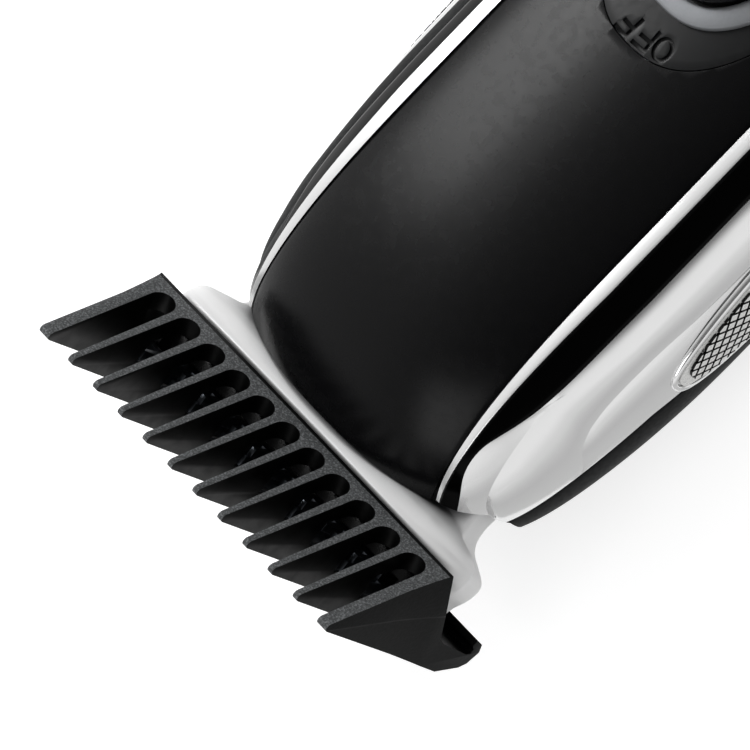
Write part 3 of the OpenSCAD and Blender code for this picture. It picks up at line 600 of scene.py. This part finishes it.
def shell(lines, rows, cols, relief=None):
    """One moulded shell through lines that run from the nose to the tail cap."""
    outer, inner = [], []
    for i in range(rows + 1):
        u = i / rows
        outer.append([])
        inner.append([])
        for band, (one, other) in enumerate(zip(lines, lines[1:])):
            for j in range(0 if band == 0 else 1, cols[band] + 1):
                t = j / cols[band]
                (s, a), (nose_s, nose_a) = (
                    [p + (q - p) * t for p, q in zip(one(w), other(w))] for w in (u, 0))
                # Towards the nose the rows bend onto the front edge.
                s += (front_edge(nose_a) - nose_s) * (1 - u) ** 6
                point, way = skin(s, a), outward(s, a)
                lift = relief(band, t, s) if relief else 0
                outer[-1].append(point + way * lift)
                inner[-1].append(point - way * wall)
    return closed_form(outer, inner)


plate_length, plate_width = 48.0, 24.0
switch_mid = 84.5
oval_power = 2.5


def oval(long, wide, a):
    """(across, along) on an oval at an angle in degrees from its rear end."""
    sine, cosine = math.sin(math.radians(a)), math.cos(math.radians(a))
    return (wide / 2 * math.copysign(abs(sine) ** (2 / oval_power), sine),
            long / 2 * math.copysign(abs(cosine) ** (2 / oval_power), cosine))


def pushed_out(corners, way):
    """A closed block: a face through corners in metres, pushed along a way in millimetres."""
    form = bmesh.new()
    face = form.faces.new([form.verts.new(corner) for corner in corners])
    grown = bmesh.ops.extrude_face_region(form, geom=[face])
    bmesh.ops.translate(form, vec=Vector(way) / 1000,
                        verts=[v for v in grown["geom"] if isinstance(v, bmesh.types.BMVert)])
    bmesh.ops.recalc_face_normals(form, faces=form.faces)
    return form


def prism(points, low, high):
    """A closed block over an outline in the XY plane, in millimetres."""
    return pushed_out([Vector((x, y, low)) / 1000 for x, y in points], (0, 0, high - low))


def cut(form, *tools):
    """The form with the tools taken out of it."""
    objects = []
    for solid in (form, *tools):
        mesh = bpy.data.meshes.new("cut")
        solid.to_mesh(mesh)
        solid.free()
        objects.append(bpy.data.objects.new("cut", mesh))
        bpy.context.scene.collection.objects.link(objects[-1])
    for tool in objects[1:]:
        step = objects[0].modifiers.new("cut", "BOOLEAN")
        step.operation = "DIFFERENCE"
        step.solver = "EXACT"
        step.object = tool
    result = bmesh.new()
    result.from_object(objects[0], bpy.context.evaluated_depsgraph_get())
    for thing in objects:
        bpy.data.objects.remove(thing)
    return result


satin, tree, shader = finish_of("satin_black_lacquer_on_abs", "#060607", roughness=0.26,
                                Specular_IOR_Level=0.14)
peel = grain(tree, 1.1, 2.0)
vary(tree, shader, peel, 0.24, 0.29)
rough_skin(tree, shader, peel, 0.002)
opening_rim = [oval(plate_length + 2 * seam, plate_width + 2 * seam, j * 3) for j in range(120)]
opening = prism([(x, switch_mid + y - length / 2) for x, y in opening_rim], axis_up, axis_up + 20)
cover_lines = [edge_line(lambda s, side=side: side * angle_at_x(s, cover_half)) for side in (-1, 1)]
cover_form = cut(shell(cover_lines, 110, [48]), opening)
made_piece("front_panel", cover_form, satin, "body", "front_cover", edge=0.15)

# ---- Bright strips ----
# An ABS strip, plated in satin chrome that blurs what it reflects, lies along each edge of
# the cover. It narrows to a point at the neck, and its two walls are painted black, as painted
# shade in the joints beside it.
satin_chrome, tree, shader = finish_of("satin_chrome_plate_on_abs", "#e8e8e8", metallic=0.45,
                                       roughness=0.22)
vary(tree, shader, grain(tree, 6.0, 2.0), 0.2, 0.26)
strip_width, strip_rise, strip_rows, strip_start = 1.5, 0.25, 160, 0.004
# Across the strip: the share of its width, and how far its rounded edges drop there.
strip_section = ((0, 0.2), (0.002, 0), (0.3, 0), (0.6, 0), (0.87, 0), (0.95, 0.02), (0.99, 0.06), (1, 0.14))


def crown_at(s, x):
    """The skin's height over the long axis at an X."""
    return crown(s) * (1 - min(1, abs(x) / half_width(s)) ** top_power) ** (1 / top_power)


strip_top, strip_under = [], []
strip_line = edge_line(lambda s: angle_at_x(s, cover_half))
for i in range(strip_rows + 1):
    s, _ = strip_line(strip_start + (1 - strip_start) * i / strip_rows)
    wide = strip_width * (0.2 + 0.8 * min(1, span(s, 14, 42)) ** 0.75)
    x, y = cover_half + seam, s - length / 2
    high = axis_up + crown_at(s, x) + strip_rise * (0.3 + 0.7 * min(1, span(s, 16, 40)))
    tilt = 0.02 + 0.1 * min(1, span(s, 25, 80))
    strip_top.append([Vector((x + wide * share, y, high - tilt * wide * share
                              - wide * (0.02 * (2 * share - 1) ** 2 + drop / strip_width)))
                      for share, drop in strip_section])
    strip_under.append([Vector((x + wide * share, y, axis_up + crown_at(s, x + wide * share) + 0.04))
                        for share, _ in strip_section])
right_strip = closed_form(strip_top, strip_under)
# The walls take the black lacquer, as painted shade in the joints.
for face in right_strip.faces:
    face.material_index = 1 if abs(face.normal.x) > 0.75 else 0


def mirrored(form):
    """The same piece for the left side."""
    copy = form.copy()
    bmesh.ops.scale(copy, vec=(-1, 1, 1), verts=copy.verts)
    bmesh.ops.recalc_face_normals(copy, faces=copy.faces)
    return copy


def on_both_sides(name, form, finish, node, slot, **rounding):
    """A piece for the right side and its mirror image for the left."""
    other = mirrored(form)
    for side, shape in (("right", form), ("left", other)):
        made_piece(name + "_" + side, shape, finish, "body", node + "_" + side, **rounding)


on_both_sides("strip", right_strip, (satin_chrome, satin), "trim", "chrome_plated")

# ---- Side bands ----
# Black ABS between the strip and the side panel, from a polished mould that leaves it deep
# and glossy.
polished, tree, shader = finish_of("polished_black_abs", "#030303", roughness=0.12,
                                   Specular_IOR_Level=0.06)
waves = grain(tree, 9.0, 1.0)
vary(tree, shader, waves, 0.1, 0.16)
rough_skin(tree, shader, waves, 0.002)


def through(knots, s):
    """Values at a station on smooth lines through knots of (station, value, ...)."""
    i = max(0, min(len(knots) - 2, sum(knot[0] <= s for knot in knots) - 1))
    near, far = knots[i], knots[i + 1]
    before, after = knots[max(0, i - 1)], knots[min(len(knots) - 1, i + 2)]
    step = far[0] - near[0]
    t = min(1, max(0, (s - near[0]) / step))
    return [(2 * t ** 3 - 3 * t ** 2 + 1) * near[c] + (3 * t ** 2 - 2 * t ** 3) * far[c]
            + (t ** 3 - 2 * t ** 2 + t) * (far[c] - before[c]) / (far[0] - before[0]) * step
            + (t ** 3 - t ** 2) * (after[c] - near[c]) / (after[0] - near[0]) * step
            for c in range(1, len(near))]


# Where the band ends, across the handle: it narrows towards the neck and flares again.
band_knots = ((16, 16.75), (17.6, 16.5), (19.3, 16.05), (21, 15.95), (22.9, 16.2), (24.6, 16.7),
              (26.7, 17.3), (29.4, 17.85), (34, 18.3), (44, 18.6))


def band_foot(s):
    """The angle where the band ends."""
    return angle_at_x(s, min(through(band_knots, s)[0], half_width(s) - 0.8))


right_band = shell([edge_line(lambda s: angle_at_x(s, cover_half + seam)),
                    edge_line(lambda s: band_foot(s) - 2 * seam)], 110, [10])
on_both_sides("band", right_band, polished, "side_band", "gloss_black", edge=0.12)


# ---- Side panels ----
# An ABS moulding along each side, in three shallow flutes that meet in crisp creases. The
# right one is plated in bright chrome, which mirrors the room. The left one is given smooth,
# matt dark ABS instead, as a painted dark reflection.
def angle_at_rise(s, rise):
    """The skin's angle from the crown at a height over the long axis."""
    if rise > 0:
        return math.degrees(math.acos(min(1, (rise / crown(s)) ** (top_power / 2))))
    return 180 - math.degrees(math.acos(min(1, (-rise / belly(s)) ** (under_power / 2))))


def panel_foot(s):
    """The angle where the panel meets the back shell."""
    return angle_at_rise(s, 0.5 - 3.9 * min(1, span(s, 36, 62)))


def upper_crease(s):
    """The angle of the crease between the first flute and the second."""
    rise = 9.5 * min(1, span(s, 18, 29.3)) ** 0.303
    return max(band_foot(s) + 1.5 + 6 * min(1, span(s, 31, 40)), angle_at_rise(s, rise))


# The lower crease's height over the long axis, by station.
lower_knots = ((27.3, 0.8), (28.9, 3.6), (32.1, 5.3), (35.9, 6.0), (41, 6.2), (47.5, 5.9), (54, 5.8))


def lower_crease(s):
    """The angle of the crease between the second flute and the third."""
    rise = through(lower_knots, s)[0]
    return min(panel_foot(s) - 0.6, max(angle_at_rise(s, rise), upper_crease(s) + 1.5))


crease_start, flute_depth = 18.1, 0.55


def crease_line(u):
    """The upper crease as an edge line, from where it starts at the nose."""
    s = crease_start + (cap_start - seam - crease_start) * u ** 1.5
    return s, min(upper_crease(s), panel_foot(s) - 3)


def flutes(band, t, s):
    """How far the flutes sink the panel's face, as a height below nought."""
    upper = flute_depth * min(1, span(-s, -31, -24))
    lower = flute_depth * min(1, span(s, 26.5, 31)) * (1 - 0.6 * min(1, span(s, 40, 58)))
    if band == 0:
        return -upper * t
    if band == 1:
        return -upper * (1 - t) ** 2 - lower * t ** 2
    return -lower * (1 - t) ** 3


panel_lines = [edge_line(band_foot), crease_line, edge_line(lower_crease),
               edge_line(lambda s: panel_foot(s) - 2 * seam)]
chrome, tree, shader = finish_of("bright_chrome_plate_on_abs", "#eeeeee", metallic=0.82, roughness=0.12)
vary(tree, shader, grain(tree, 6.0, 2.0), 0.1, 0.15)
dark, tree, shader = finish_of("smooth_dark_abs_and_painted_reflection", "#131415", roughness=0.5, Specular_IOR_Level=0.03)
fine = grain(tree, 0.5, 2.0)
vary(tree, shader, fine, 0.45, 0.55)
rough_skin(tree, shader, fine, 0.005)
right_panel = shell(panel_lines, 170, [18, 26, 16], flutes)
left_panel = mirrored(right_panel)
# The left panel's dark ABS is a painted dark reflection, the same material as the real back shell.
for name, form, node, finish, slot in (
        ("panel_right", right_panel, "side_panel_right", chrome, "chrome_plated"),
        ("panel_left", left_panel, "side_panel_left", dark, "back_plastic")):
    made_piece(name, form, finish, "body", node, edge=0.12, sharp=50, crease=10)

# ---- Back shell ----
# The handle's back, moulded from the same smooth dark ABS. Four screws hold it, each sunk in
# a round well.
well_radius = 2.65
turns = [k * math.pi / 20 for k in range(40)]
wells = [prism([(x + well_radius * math.cos(a), s - length / 2 + well_radius * math.sin(a)) for a in turns],
               -2, well_top) for x, s, _, well_top in back_screws]
back_lines = [edge_line(panel_foot), edge_line(lambda s: 360 - panel_foot(s))]
back_form = cut(shell(back_lines, 110, [110]), *wells)
made_piece("back_half", back_form, dark, "body", "back_shell", edge=0.15)

# ---- Tail cap ----
# A dome of the same polished black ABS closes the tail, open in its flat end round the
# charging socket and its pilot light.
cap_flat, cap_curve, cap_steps, cap_points = 0.78, 2.4, 24, 120


def cap_ring(t, inset, ahead):
    """A ring of the dome in millimetres, at t from its edge to where its curve would end."""
    turn = math.sin(math.radians(90 * t))
    draw = (1 - turn ** cap_curve) ** (1 / cap_curve)
    wide = (half_width(cap_start) - 2.2 * turn - inset) * draw
    high = (crown(cap_start) - 1.4 * turn - inset) * draw
    low = (belly(cap_start) - turn - inset) * draw
    run = (length - cap_start - inset) * turn / math.sin(math.radians(90 * cap_flat))
    ring = []
    for j in range(cap_points):
        a = math.radians(j * 360 / cap_points)
        sine, cosine = math.sin(a), math.cos(a)
        power = top_power if cosine > 0 else under_power
        rise = (high if cosine > 0 else -low) * abs(cosine) ** (2 / power)
        ring.append(Vector((wide * math.copysign(abs(sine) ** (2 / power), sine),
                            cap_start + run - length / 2 - ahead, max(0.0, axis_up + rise))))
    return ring


def lofted(rings):
    """A closed form through rings of points in metres, with a flat face at each end."""
    form = bmesh.new()
    loops = [[form.verts.new(p) for p in ring] for ring in rings]
    around = len(loops[0])
    for near, far in zip(loops, loops[1:]):
        for j in range(around):
            form.faces.new((near[j], near[(j + 1) % around], far[(j + 1) % around], far[j]))
    form.faces.new(loops[0])
    form.faces.new(loops[-1])
    bmesh.ops.recalc_face_normals(form, faces=form.faces)
    return form


def cap_form(inset, ahead):
    """The dome, drawn in by inset, with its open edge moved ahead towards the comb."""
    rings = [cap_ring(cap_flat * i / cap_steps, inset, 0 if i else ahead) for i in range(cap_steps + 1)]
    return lofted([[p / 1000 for p in ring] for ring in rings])


def bore(rise, radius):
    """A round bar along the handle at the tail."""
    form = bmesh.new()
    place = Matrix.Translation((0, 0.085, (axis_up + rise) / 1000)) @ Matrix.Rotation(math.pi / 2, 4, "X")
    bmesh.ops.create_cone(form, cap_ends=True, segments=64, radius1=radius / 1000,
                          radius2=radius / 1000, depth=0.03, matrix=place)
    return form


hollow_cap = cut(cap_form(0, 0), cap_form(wall, 1), bore(0, 4.05), bore(7, 1.25))
made_piece("tail_dome", hollow_cap, polished, "body", "tail_cap", edge=0.12)
cad_copy("socket", "charge_socket", polished, "body", 0.08)

# ---- Neck ----
# The moulded head that carries the blades flares out to the comb's rear edge. It is plated in
# pale, soft pearl chrome, darkened in its recesses by painted shade. The seat under the comb
# is painted black, as painted shade under the comb's slots.
pearl, tree, shader = finish_of("pearl_chrome_plate", "#f2f2f3", metallic=0.15, roughness=0.35)
# Painted shade: a spot is darkened by how much other surface stands within seven millimetres.
recess_reach = 7
recess = add(tree, "ShaderNodeAmbientOcclusion", {"Distance": recess_reach / 1000}).outputs["AO"]
tint(tree, shader, recess, [(0.2, "#2a2a2b"), (0.45, "#9a9a9b"), (0.7, "#f0f0f0"), (1, "#fdfdfd")])
vary(tree, shader, grain(tree, 5.0, 2.0), 0.38, 0.46)
# Rows of (station, half width over the wings, half width of the cheeks under them, height
# above the axis, depth below it, squareness of the top).
neck_rows = ((5.4, 20.7, 20.7, 6.1, 4.5, 9), (8.5, 21.1, 21.0, 6.1, 4.8, 9),
             (9.9, 21.6, 21.5, 6.15, 5.2, 7), (10.9, 22.1, 21.7, 7.2, 5.6, 5.5),
             (11.95, 22.2, 21.6, 7.8, 6.0, 4.5), (12.5, 22.2, 21.1, 7.65, 6.3, 4),
             (13.1, 22.0, 19.9, 7.3, 6.6, 4), (13.7, 21.2, 18.6, 6.9, 7.0, 4),
             (14.3, 19.6, 17.9, 6.5, 7.4, 3.6), (14.9, 18.0, 17.5, 6.25, 7.8, 3),
             (15.5, 17.3, 17.3, 6.2, 8.1, 2.3), (16.5, 17.1, 17.1, 6.2, 8.6, 2.1),
             (20, 17.1, 17.1, 8, 10, 2.3), (27, 17.1, 17.1, 8, 10, 2.3))
wing_edge, under_wing = 3.4, 1.6


def neck_ring(s):
    """(across, up) points round the right half of the neck, from its top to its underside."""
    wing, cheek, high, low, power = through(neck_rows, s)
    reach_out = (1 - (wing_edge / high) ** power) ** (1 / power)
    half = []
    for k in range(31):
        f = reach_out * math.sin(math.pi * k / 60)
        half.append((wing * f, high * (1 - f ** power) ** (1 / power)))
    for k in range(1, 37):
        z = wing_edge - (wing_edge + 0.6 * low) * k / 36
        bare = cheek * (1 - (max(0, -z) / low) ** 2.2) ** (1 / 2.2)
        half.append((bare + (wing * reach_out - cheek) * max(0, 1 - (wing_edge - z) / under_wing) ** 2, z))
    side = half[-1][0]
    for k in range(1, 25):
        x = side * math.cos(math.pi * k / 48)
        half.append((x, -low * (1 - (x / cheek) ** 2.2) ** (1 / 2.2)))
    return half


def neck_loft():
    """The neck's outside, six rings to each of its rows."""
    rings = []
    for near, far in zip(neck_rows, neck_rows[1:]):
        for k in range(6):
            s = near[0] + (far[0] - near[0]) * k / 6
            half = neck_ring(s)
            rings.append([at(x, s, z) for x, z in half + [(-x, z) for x, z in half[-2:0:-1]]])
    return lofted(rings)


def block(low, high, leaning=False):
    """A box in millimetres, in the shared frame or in the blades' leaning frame."""
    form = bmesh.new()
    bmesh.ops.create_cube(form, size=1)
    for v in form.verts:
        place = Vector([low[k] + (high[k] - low[k]) * (v.co[k] + 0.5) for k in range(3)])
        if leaning:
            place = lean @ place + blade_foot
        v.co = place / 1000
    return form


def across(points, low, high):
    """A block over an outline of (station, height) points, from one X to another."""
    return pushed_out([at(low, s, h) for s, h in points], (high - low, 0, 0))


# What the neck's sides lose to the comb, as an outline of (station, height).
clear_of_comb = ((0, 24), (0.5, 24.2), (11.9, 11.5), (11.9, 8.4), (8.2, 3.6), (6.15, 0.9),
                 (6.1, -4), (6.6, -8), (0, -8))
comb_clear = 20.65
blade_seat = block((-30, -20, -10), (30, 1.275, 30), leaning=True)
moving_seat = block((-17.7, -20, 5.35), (17.7, 2.53, 30), leaning=True)
yoke_room = block((-12.8, -88, axis_up - 3.9), (12.8, -60, axis_up + 4.2))
neck_form = cut(neck_loft(), blade_seat, moving_seat, yoke_room,
                across(clear_of_comb, comb_clear, 26), across(clear_of_comb, -26, -comb_clear))
# The seat's faces, ahead of this station and inside this half width, take the black lacquer as painted
# shade.
painted_shade_edge, painted_shade_half = at(0, 11.2, 0).y, 19.6 / 1000
for face in neck_form.faces:
    middle = face.calc_center_median()
    if middle.y < painted_shade_edge and abs(middle.x) < painted_shade_half:
        face.material_index = 1
made_piece("neck", neck_form, (pearl, satin), "body", "head_housing", edge=0.1, sharp=50)

# ---- Neck seal ----
# A ring of moulded black rubber fills the gap between the neck and the shells. Its skin is
# matt and slightly grainy.
rubber, tree, shader = finish_of("moulded_black_rubber", "#141414", roughness=0.7)
rough_skin(tree, shader, grain(tree, 0.4), 0.01)


def dress(node, material):
    """A CAD node kept as it is, in this material."""
    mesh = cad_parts[node].data
    mesh.materials.clear()
    mesh.materials.append(material)


dress("neck_seal", rubber)

# ---- Inner parts ----
# Inside the shells: the frame of matt grey ABS, the motor's grainy sintered bushings, the
# cells in wrinkled shrink sleeve, the board under blotchy solder mask, leads in satin vinyl
# and the pilot light's clear acrylic pipe.
grey, tree, shader = finish_of("grey_abs_moulded", "#5b6068", roughness=0.45)
vary(tree, shader, grain(tree, 3.0), 0.4, 0.5)
dress("chassis", grey)
bronze, tree, shader = finish_of("sintered_bronze", "#a6763f", metallic=1.0, roughness=0.45)
rough_skin(tree, shader, grain(tree, 0.2), 0.02)
dress("motor_bushings", bronze)
sleeve, tree, shader = finish_of("green_shrink_sleeve_pvc", "#3c8a5a", roughness=0.25)
rough_skin(tree, shader, grain(tree, 4.0, stretch=(1, 0.2, 1)), 0.03)
dress("battery_cells", sleeve)
mask, tree, shader = finish_of("green_solder_mask_on_board", "#1f5a3a", roughness=0.3)
tint(tree, shader, grain(tree, 0.8), [(0.4, "#1b5235"), (0.6, "#236441")])
dress("circuit_board", mask)
vinyl, tree, shader = finish_of("red_wire_insulation_pvc", "#a3201c", roughness=0.35)
vary(tree, shader, grain(tree, 1.0), 0.3, 0.4)
dress("motor_leads", vinyl)
pipe, tree, shader = finish_of("clear_light_pipe_acrylic", "#dcece0", roughness=0.1)
vary(tree, shader, grain(tree, 1.0), 0.08, 0.14)
dress("charge_lens", pipe)

# ---- Switch plate ----
# An oval ABS plate, let in flush and moulded a little lighter than the cover, with OFF and
# ON engraved at its ends and a slot for the button's stem.
plate_abs, tree, shader = finish_of("fine_satin_dark_grey_abs", "#0c0d0e", roughness=0.4,
                                    Specular_IOR_Level=0.25)
vary(tree, shader, grain(tree, 0.6), 0.36, 0.46)


def draped(sizes, lifts, count=160):
    """Rows of points over ovals of (length, width), each lifted off the crown."""
    rows = []
    for (long, wide), lift in zip(sizes, lifts):
        ring = [oval(long, wide, j * 360 / count) for j in range(count)]
        rows.append([Vector((x, switch_mid + y - length / 2,
                             axis_up + crown_at(switch_mid + y, x) + lift)) for x, y in ring])
    return rows


letter_high, letter_stroke, engraved = 2.7, 0.17, 0.3


def letter_form(letter, s, x, turn):
    """An upright letter as a block that reaches engraved millimetres into the plate."""
    b = letter_stroke
    base = axis_up + crown_at(s, x) - engraved
    spin = Matrix.Rotation(math.radians(turn), 2)

    def placed_at(p, q):
        spot = spin @ Vector(((p - 0.4) * letter_high, (q - 0.5) * letter_high))
        return x + spot.x, s - length / 2 + spot.y

    if letter == "O":
        loops = []
        for wide, tall in ((0.41, 0.5), (0.41 - b, 0.5 - b)):
            turns = [k * math.pi / 24 for k in range(48)]
            loops.append([placed_at(0.41 + wide * math.sin(a), 0.5 + tall * math.cos(a)) for a in turns])
        return closed_form(*([[Vector((*spot, z)) for spot in loop] for loop in loops]
                             for z in (base + 2, base)), ring=True)
    outline = {"F": [(0, 0), (b, 0), (b, 0.44), (0.66, 0.44), (0.66, 0.44 + b), (b, 0.44 + b), (b, 1 - b),
                     (0.76, 1 - b), (0.76, 1), (0, 1)],
               "N": [(0, 0), (b, 0), (b, 1 - 2.4 * b), (0.78 - b, 0), (0.78, 0), (0.78, 1), (0.78 - b, 1),
                     (0.78 - b, 2.4 * b), (b, 1), (0, 1)]}[letter]
    return prism([placed_at(*spot) for spot in outline], base, base + 2)


grooves = [letter_form(*letter) for letter in (
    ("O", 62.45, 3.2, 192), ("F", 62.1, 0.9, 184), ("F", 61.95, -1.55, 176), ("O", 106.7, 1.4, 180),
    ("N", 106.7, -1.4, 180))]
stem_slot, plate_thick, plate_steps = (11.4, 6.6), 1.2, 16
steps = [[inner + (outer - inner) * k / plate_steps
          for inner, outer in zip(stem_slot, (plate_length, plate_width))] for k in range(plate_steps + 1)]
plate_form = cut(closed_form(draped(steps, [0] * len(steps)), draped(steps, [-plate_thick] * len(steps)),
                             ring=True), *grooves)
# The engraving shows the cover's deeper black.
for face in plate_form.faces:
    middle = face.calc_center_median() * 1000
    sunk = axis_up + crown_at(middle.y + length / 2, middle.x) - middle.z
    if 0.12 < sunk < 0.5:
        face.material_index = 1
plate = made_piece("plate", plate_form, (plate_abs, satin), "body", "switch_plate", edge=0.05, sharp=35)

# ---- Switch ring and button ----
# An aluminium ring, anodised to a soft satin grey, stands on the plate. Inside it slides a
# crowned ABS button, lacquered like the cover and pushed with the thumb.
anodised, tree, shader = finish_of("satin_grey_anodised_aluminium", "#85878a", metallic=0.7, roughness=0.55)
vary(tree, shader, grain(tree, 0.3), 0.5, 0.6)
ring_length, ring_width, ring_face = 38.4, 20.6, 2.2
# Across the ring's face: the share of its width and its height over the plate.
ring_section = ((0, 0.5), (0.06, 0.72), (0.2, 0.8), (0.5, 0.8), (0.8, 0.8), (0.94, 0.72), (1, 0.4))
steps = [[outer - 2 * ring_face * (1 - share) for outer in (ring_length, ring_width)]
         for share, _ in ring_section]
ring_form = closed_form(draped(steps, [high for _, high in ring_section]),
                        draped(steps, [0.04] * len(steps)), ring=True)
made_piece("ring", ring_form, anodised, "body", "switch_ring", edge=0.08)
cad_copy("button", "switch_button", satin, "switch", 0.25)

# ---- Side grips ----
# A nickel-plated pad with diamond knurling in a bright chromed rim on each side. The nickel
# is pale on the faces, and the diamonds' flanks are painted dark, as painted shade in the grooves.
nickel, tree, shader = finish_of("diamond_knurled_nickel", "#fbfbf9", metallic=0.2, roughness=0.3)
vary(tree, shader, grain(tree, 0.5), 0.22, 0.34)
flank_painted_shade, tree, shader = finish_of("nickel_groove_painted_shade", "#0c0c0c", metallic=0.6, roughness=0.5)
vary(tree, shader, grain(tree, 0.5), 0.34, 0.46)
grip_mid, grip_length, grip_height, grip_rise, rim_wide = 68.0, 56.0, 7.0, 1.6, 0.8


def side_at(s, rise):
    """The skin's half width at a height over the long axis."""
    high, power = (crown(s), top_power) if rise > 0 else (belly(s), under_power)
    return half_width(s) * (1 - (abs(rise) / high) ** power) ** (1 / power)


def side_point(s, rise, proud):
    """A point proud of the right side, at a station and a height over the long axis."""
    return Vector((side_at(s, rise) + proud, s - length / 2, axis_up + rise))


def on_side(longer, higher, a, proud):
    """A point on the grip's oval, made longer and higher by so much."""
    across_it, along = oval(grip_length + longer, grip_height + higher, a)
    return side_point(grip_mid + along, grip_rise + across_it, proud)


# Across the rim: the share of its width and how far it stands proud of the panel.
rim_section = ((1, 0.1), (0.85, 0.3), (0.6, 0.4), (0.35, 0.4), (0.15, 0.3), (0, 0.1))
rim_top, rim_under = [], []
for share, lift in rim_section:
    grow = seam + (2 * rim_wide - seam) * share
    rim_top.append([on_side(grow, grow, j * 2, lift) for j in range(180)])
    rim_under.append([on_side(grow, grow, j * 2, 0.06 if share < 1 else -0.1) for j in range(180)])
on_both_sides("rim", closed_form(rim_top, rim_under, ring=True), chrome, "grip_rim", "chrome_plated")

pitch, diamond_high, row_gap = 1.5, 0.36, 0.36
knurl, source = node_group("diamond_knurl", ("Pitch", "Height"))
top_r, foot_r = (add(knurl, "ShaderNodeMath", {0: source.outputs[1], 1: share},
                     operation="MULTIPLY").outputs[0] for share in (0.37, 0.43))
diamond = add(knurl, "GeometryNodeMeshCone", {"Vertices": 4, "Radius Top": top_r,
                                              "Radius Bottom": foot_r, "Depth": source.outputs[2]})
narrow = add(knurl, "GeometryNodeTransform", {"Geometry": diamond.outputs["Mesh"], "Scale": (1, 0.72, 1)})
placed_copies(knurl, source, narrow.outputs[0], nickel)
places = []
for row in range(-8, 9):
    for column in range(-20, 21):
        along, up_by = (column + (row % 2) / 2) * pitch, row * pitch * row_gap
        reach = abs(2 * along / grip_length) ** oval_power + abs(2 * up_by / grip_height) ** oval_power
        if reach < 1.15:
            s, rise = grip_mid + along, grip_rise + up_by
            places.append((side_point(s, rise, 0.3), outward(s, angle_at_rise(s, rise)), Vector((0, 1, 0))))
knurling = bmesh.new()
knurling.from_mesh(repeated("knurling", places, knurl, {"Pitch": pitch, "Height": diamond_high}))
# The knurling ends at an oval inside the rim, a little shorter, lower and further back.
shorter, lower, further_back = 1.6, 0.3, 0.6
beyond = []
for proud in (1.5, -1):
    inside = [on_side(-shorter, -lower, j * 3, proud) + Vector((0, further_back, 0)) for j in range(120)]
    beyond.append([inside, [on_side(7, 7, j * 3, proud) for j in range(120)]])
right_knurling = cut(knurling, closed_form(*beyond, ring=True))
# Faces that don't look straight out are the flanks, painted dark as painted shade.
for face in right_knurling.faces:
    face.material_index = 0 if face.normal.x > 0.75 else 1

# The pad's ends stop three degrees short, so that none of its faces shrinks to a point.
pad_rows, pad_high, pad_low = 60, 0.32, 0.06
pad_top, pad_under = [], []
for i in range(pad_rows + 1):
    across_it, along = oval(grip_length - 2 * seam, grip_height - 2 * seam, 3 + 174 * i / pad_rows)
    rises = [grip_rise + across_it * (j - 4) / 4 for j in range(9)]
    pad_top.append([side_point(grip_mid + along, rise, pad_high) for rise in rises])
    pad_under.append([side_point(grip_mid + along, rise, pad_low) for rise in rises])
right_pad = closed_form(pad_top, pad_under)
for side, pad, diamonds in (("left", mirrored(right_pad), mirrored(right_knurling)),
                            ("right", right_pad, right_knurling)):
    made_piece("knurling_" + side, diamonds, (nickel, flank_painted_shade), "body")
    made_piece("pad_" + side, pad, nickel, "body", "grip_" + side)
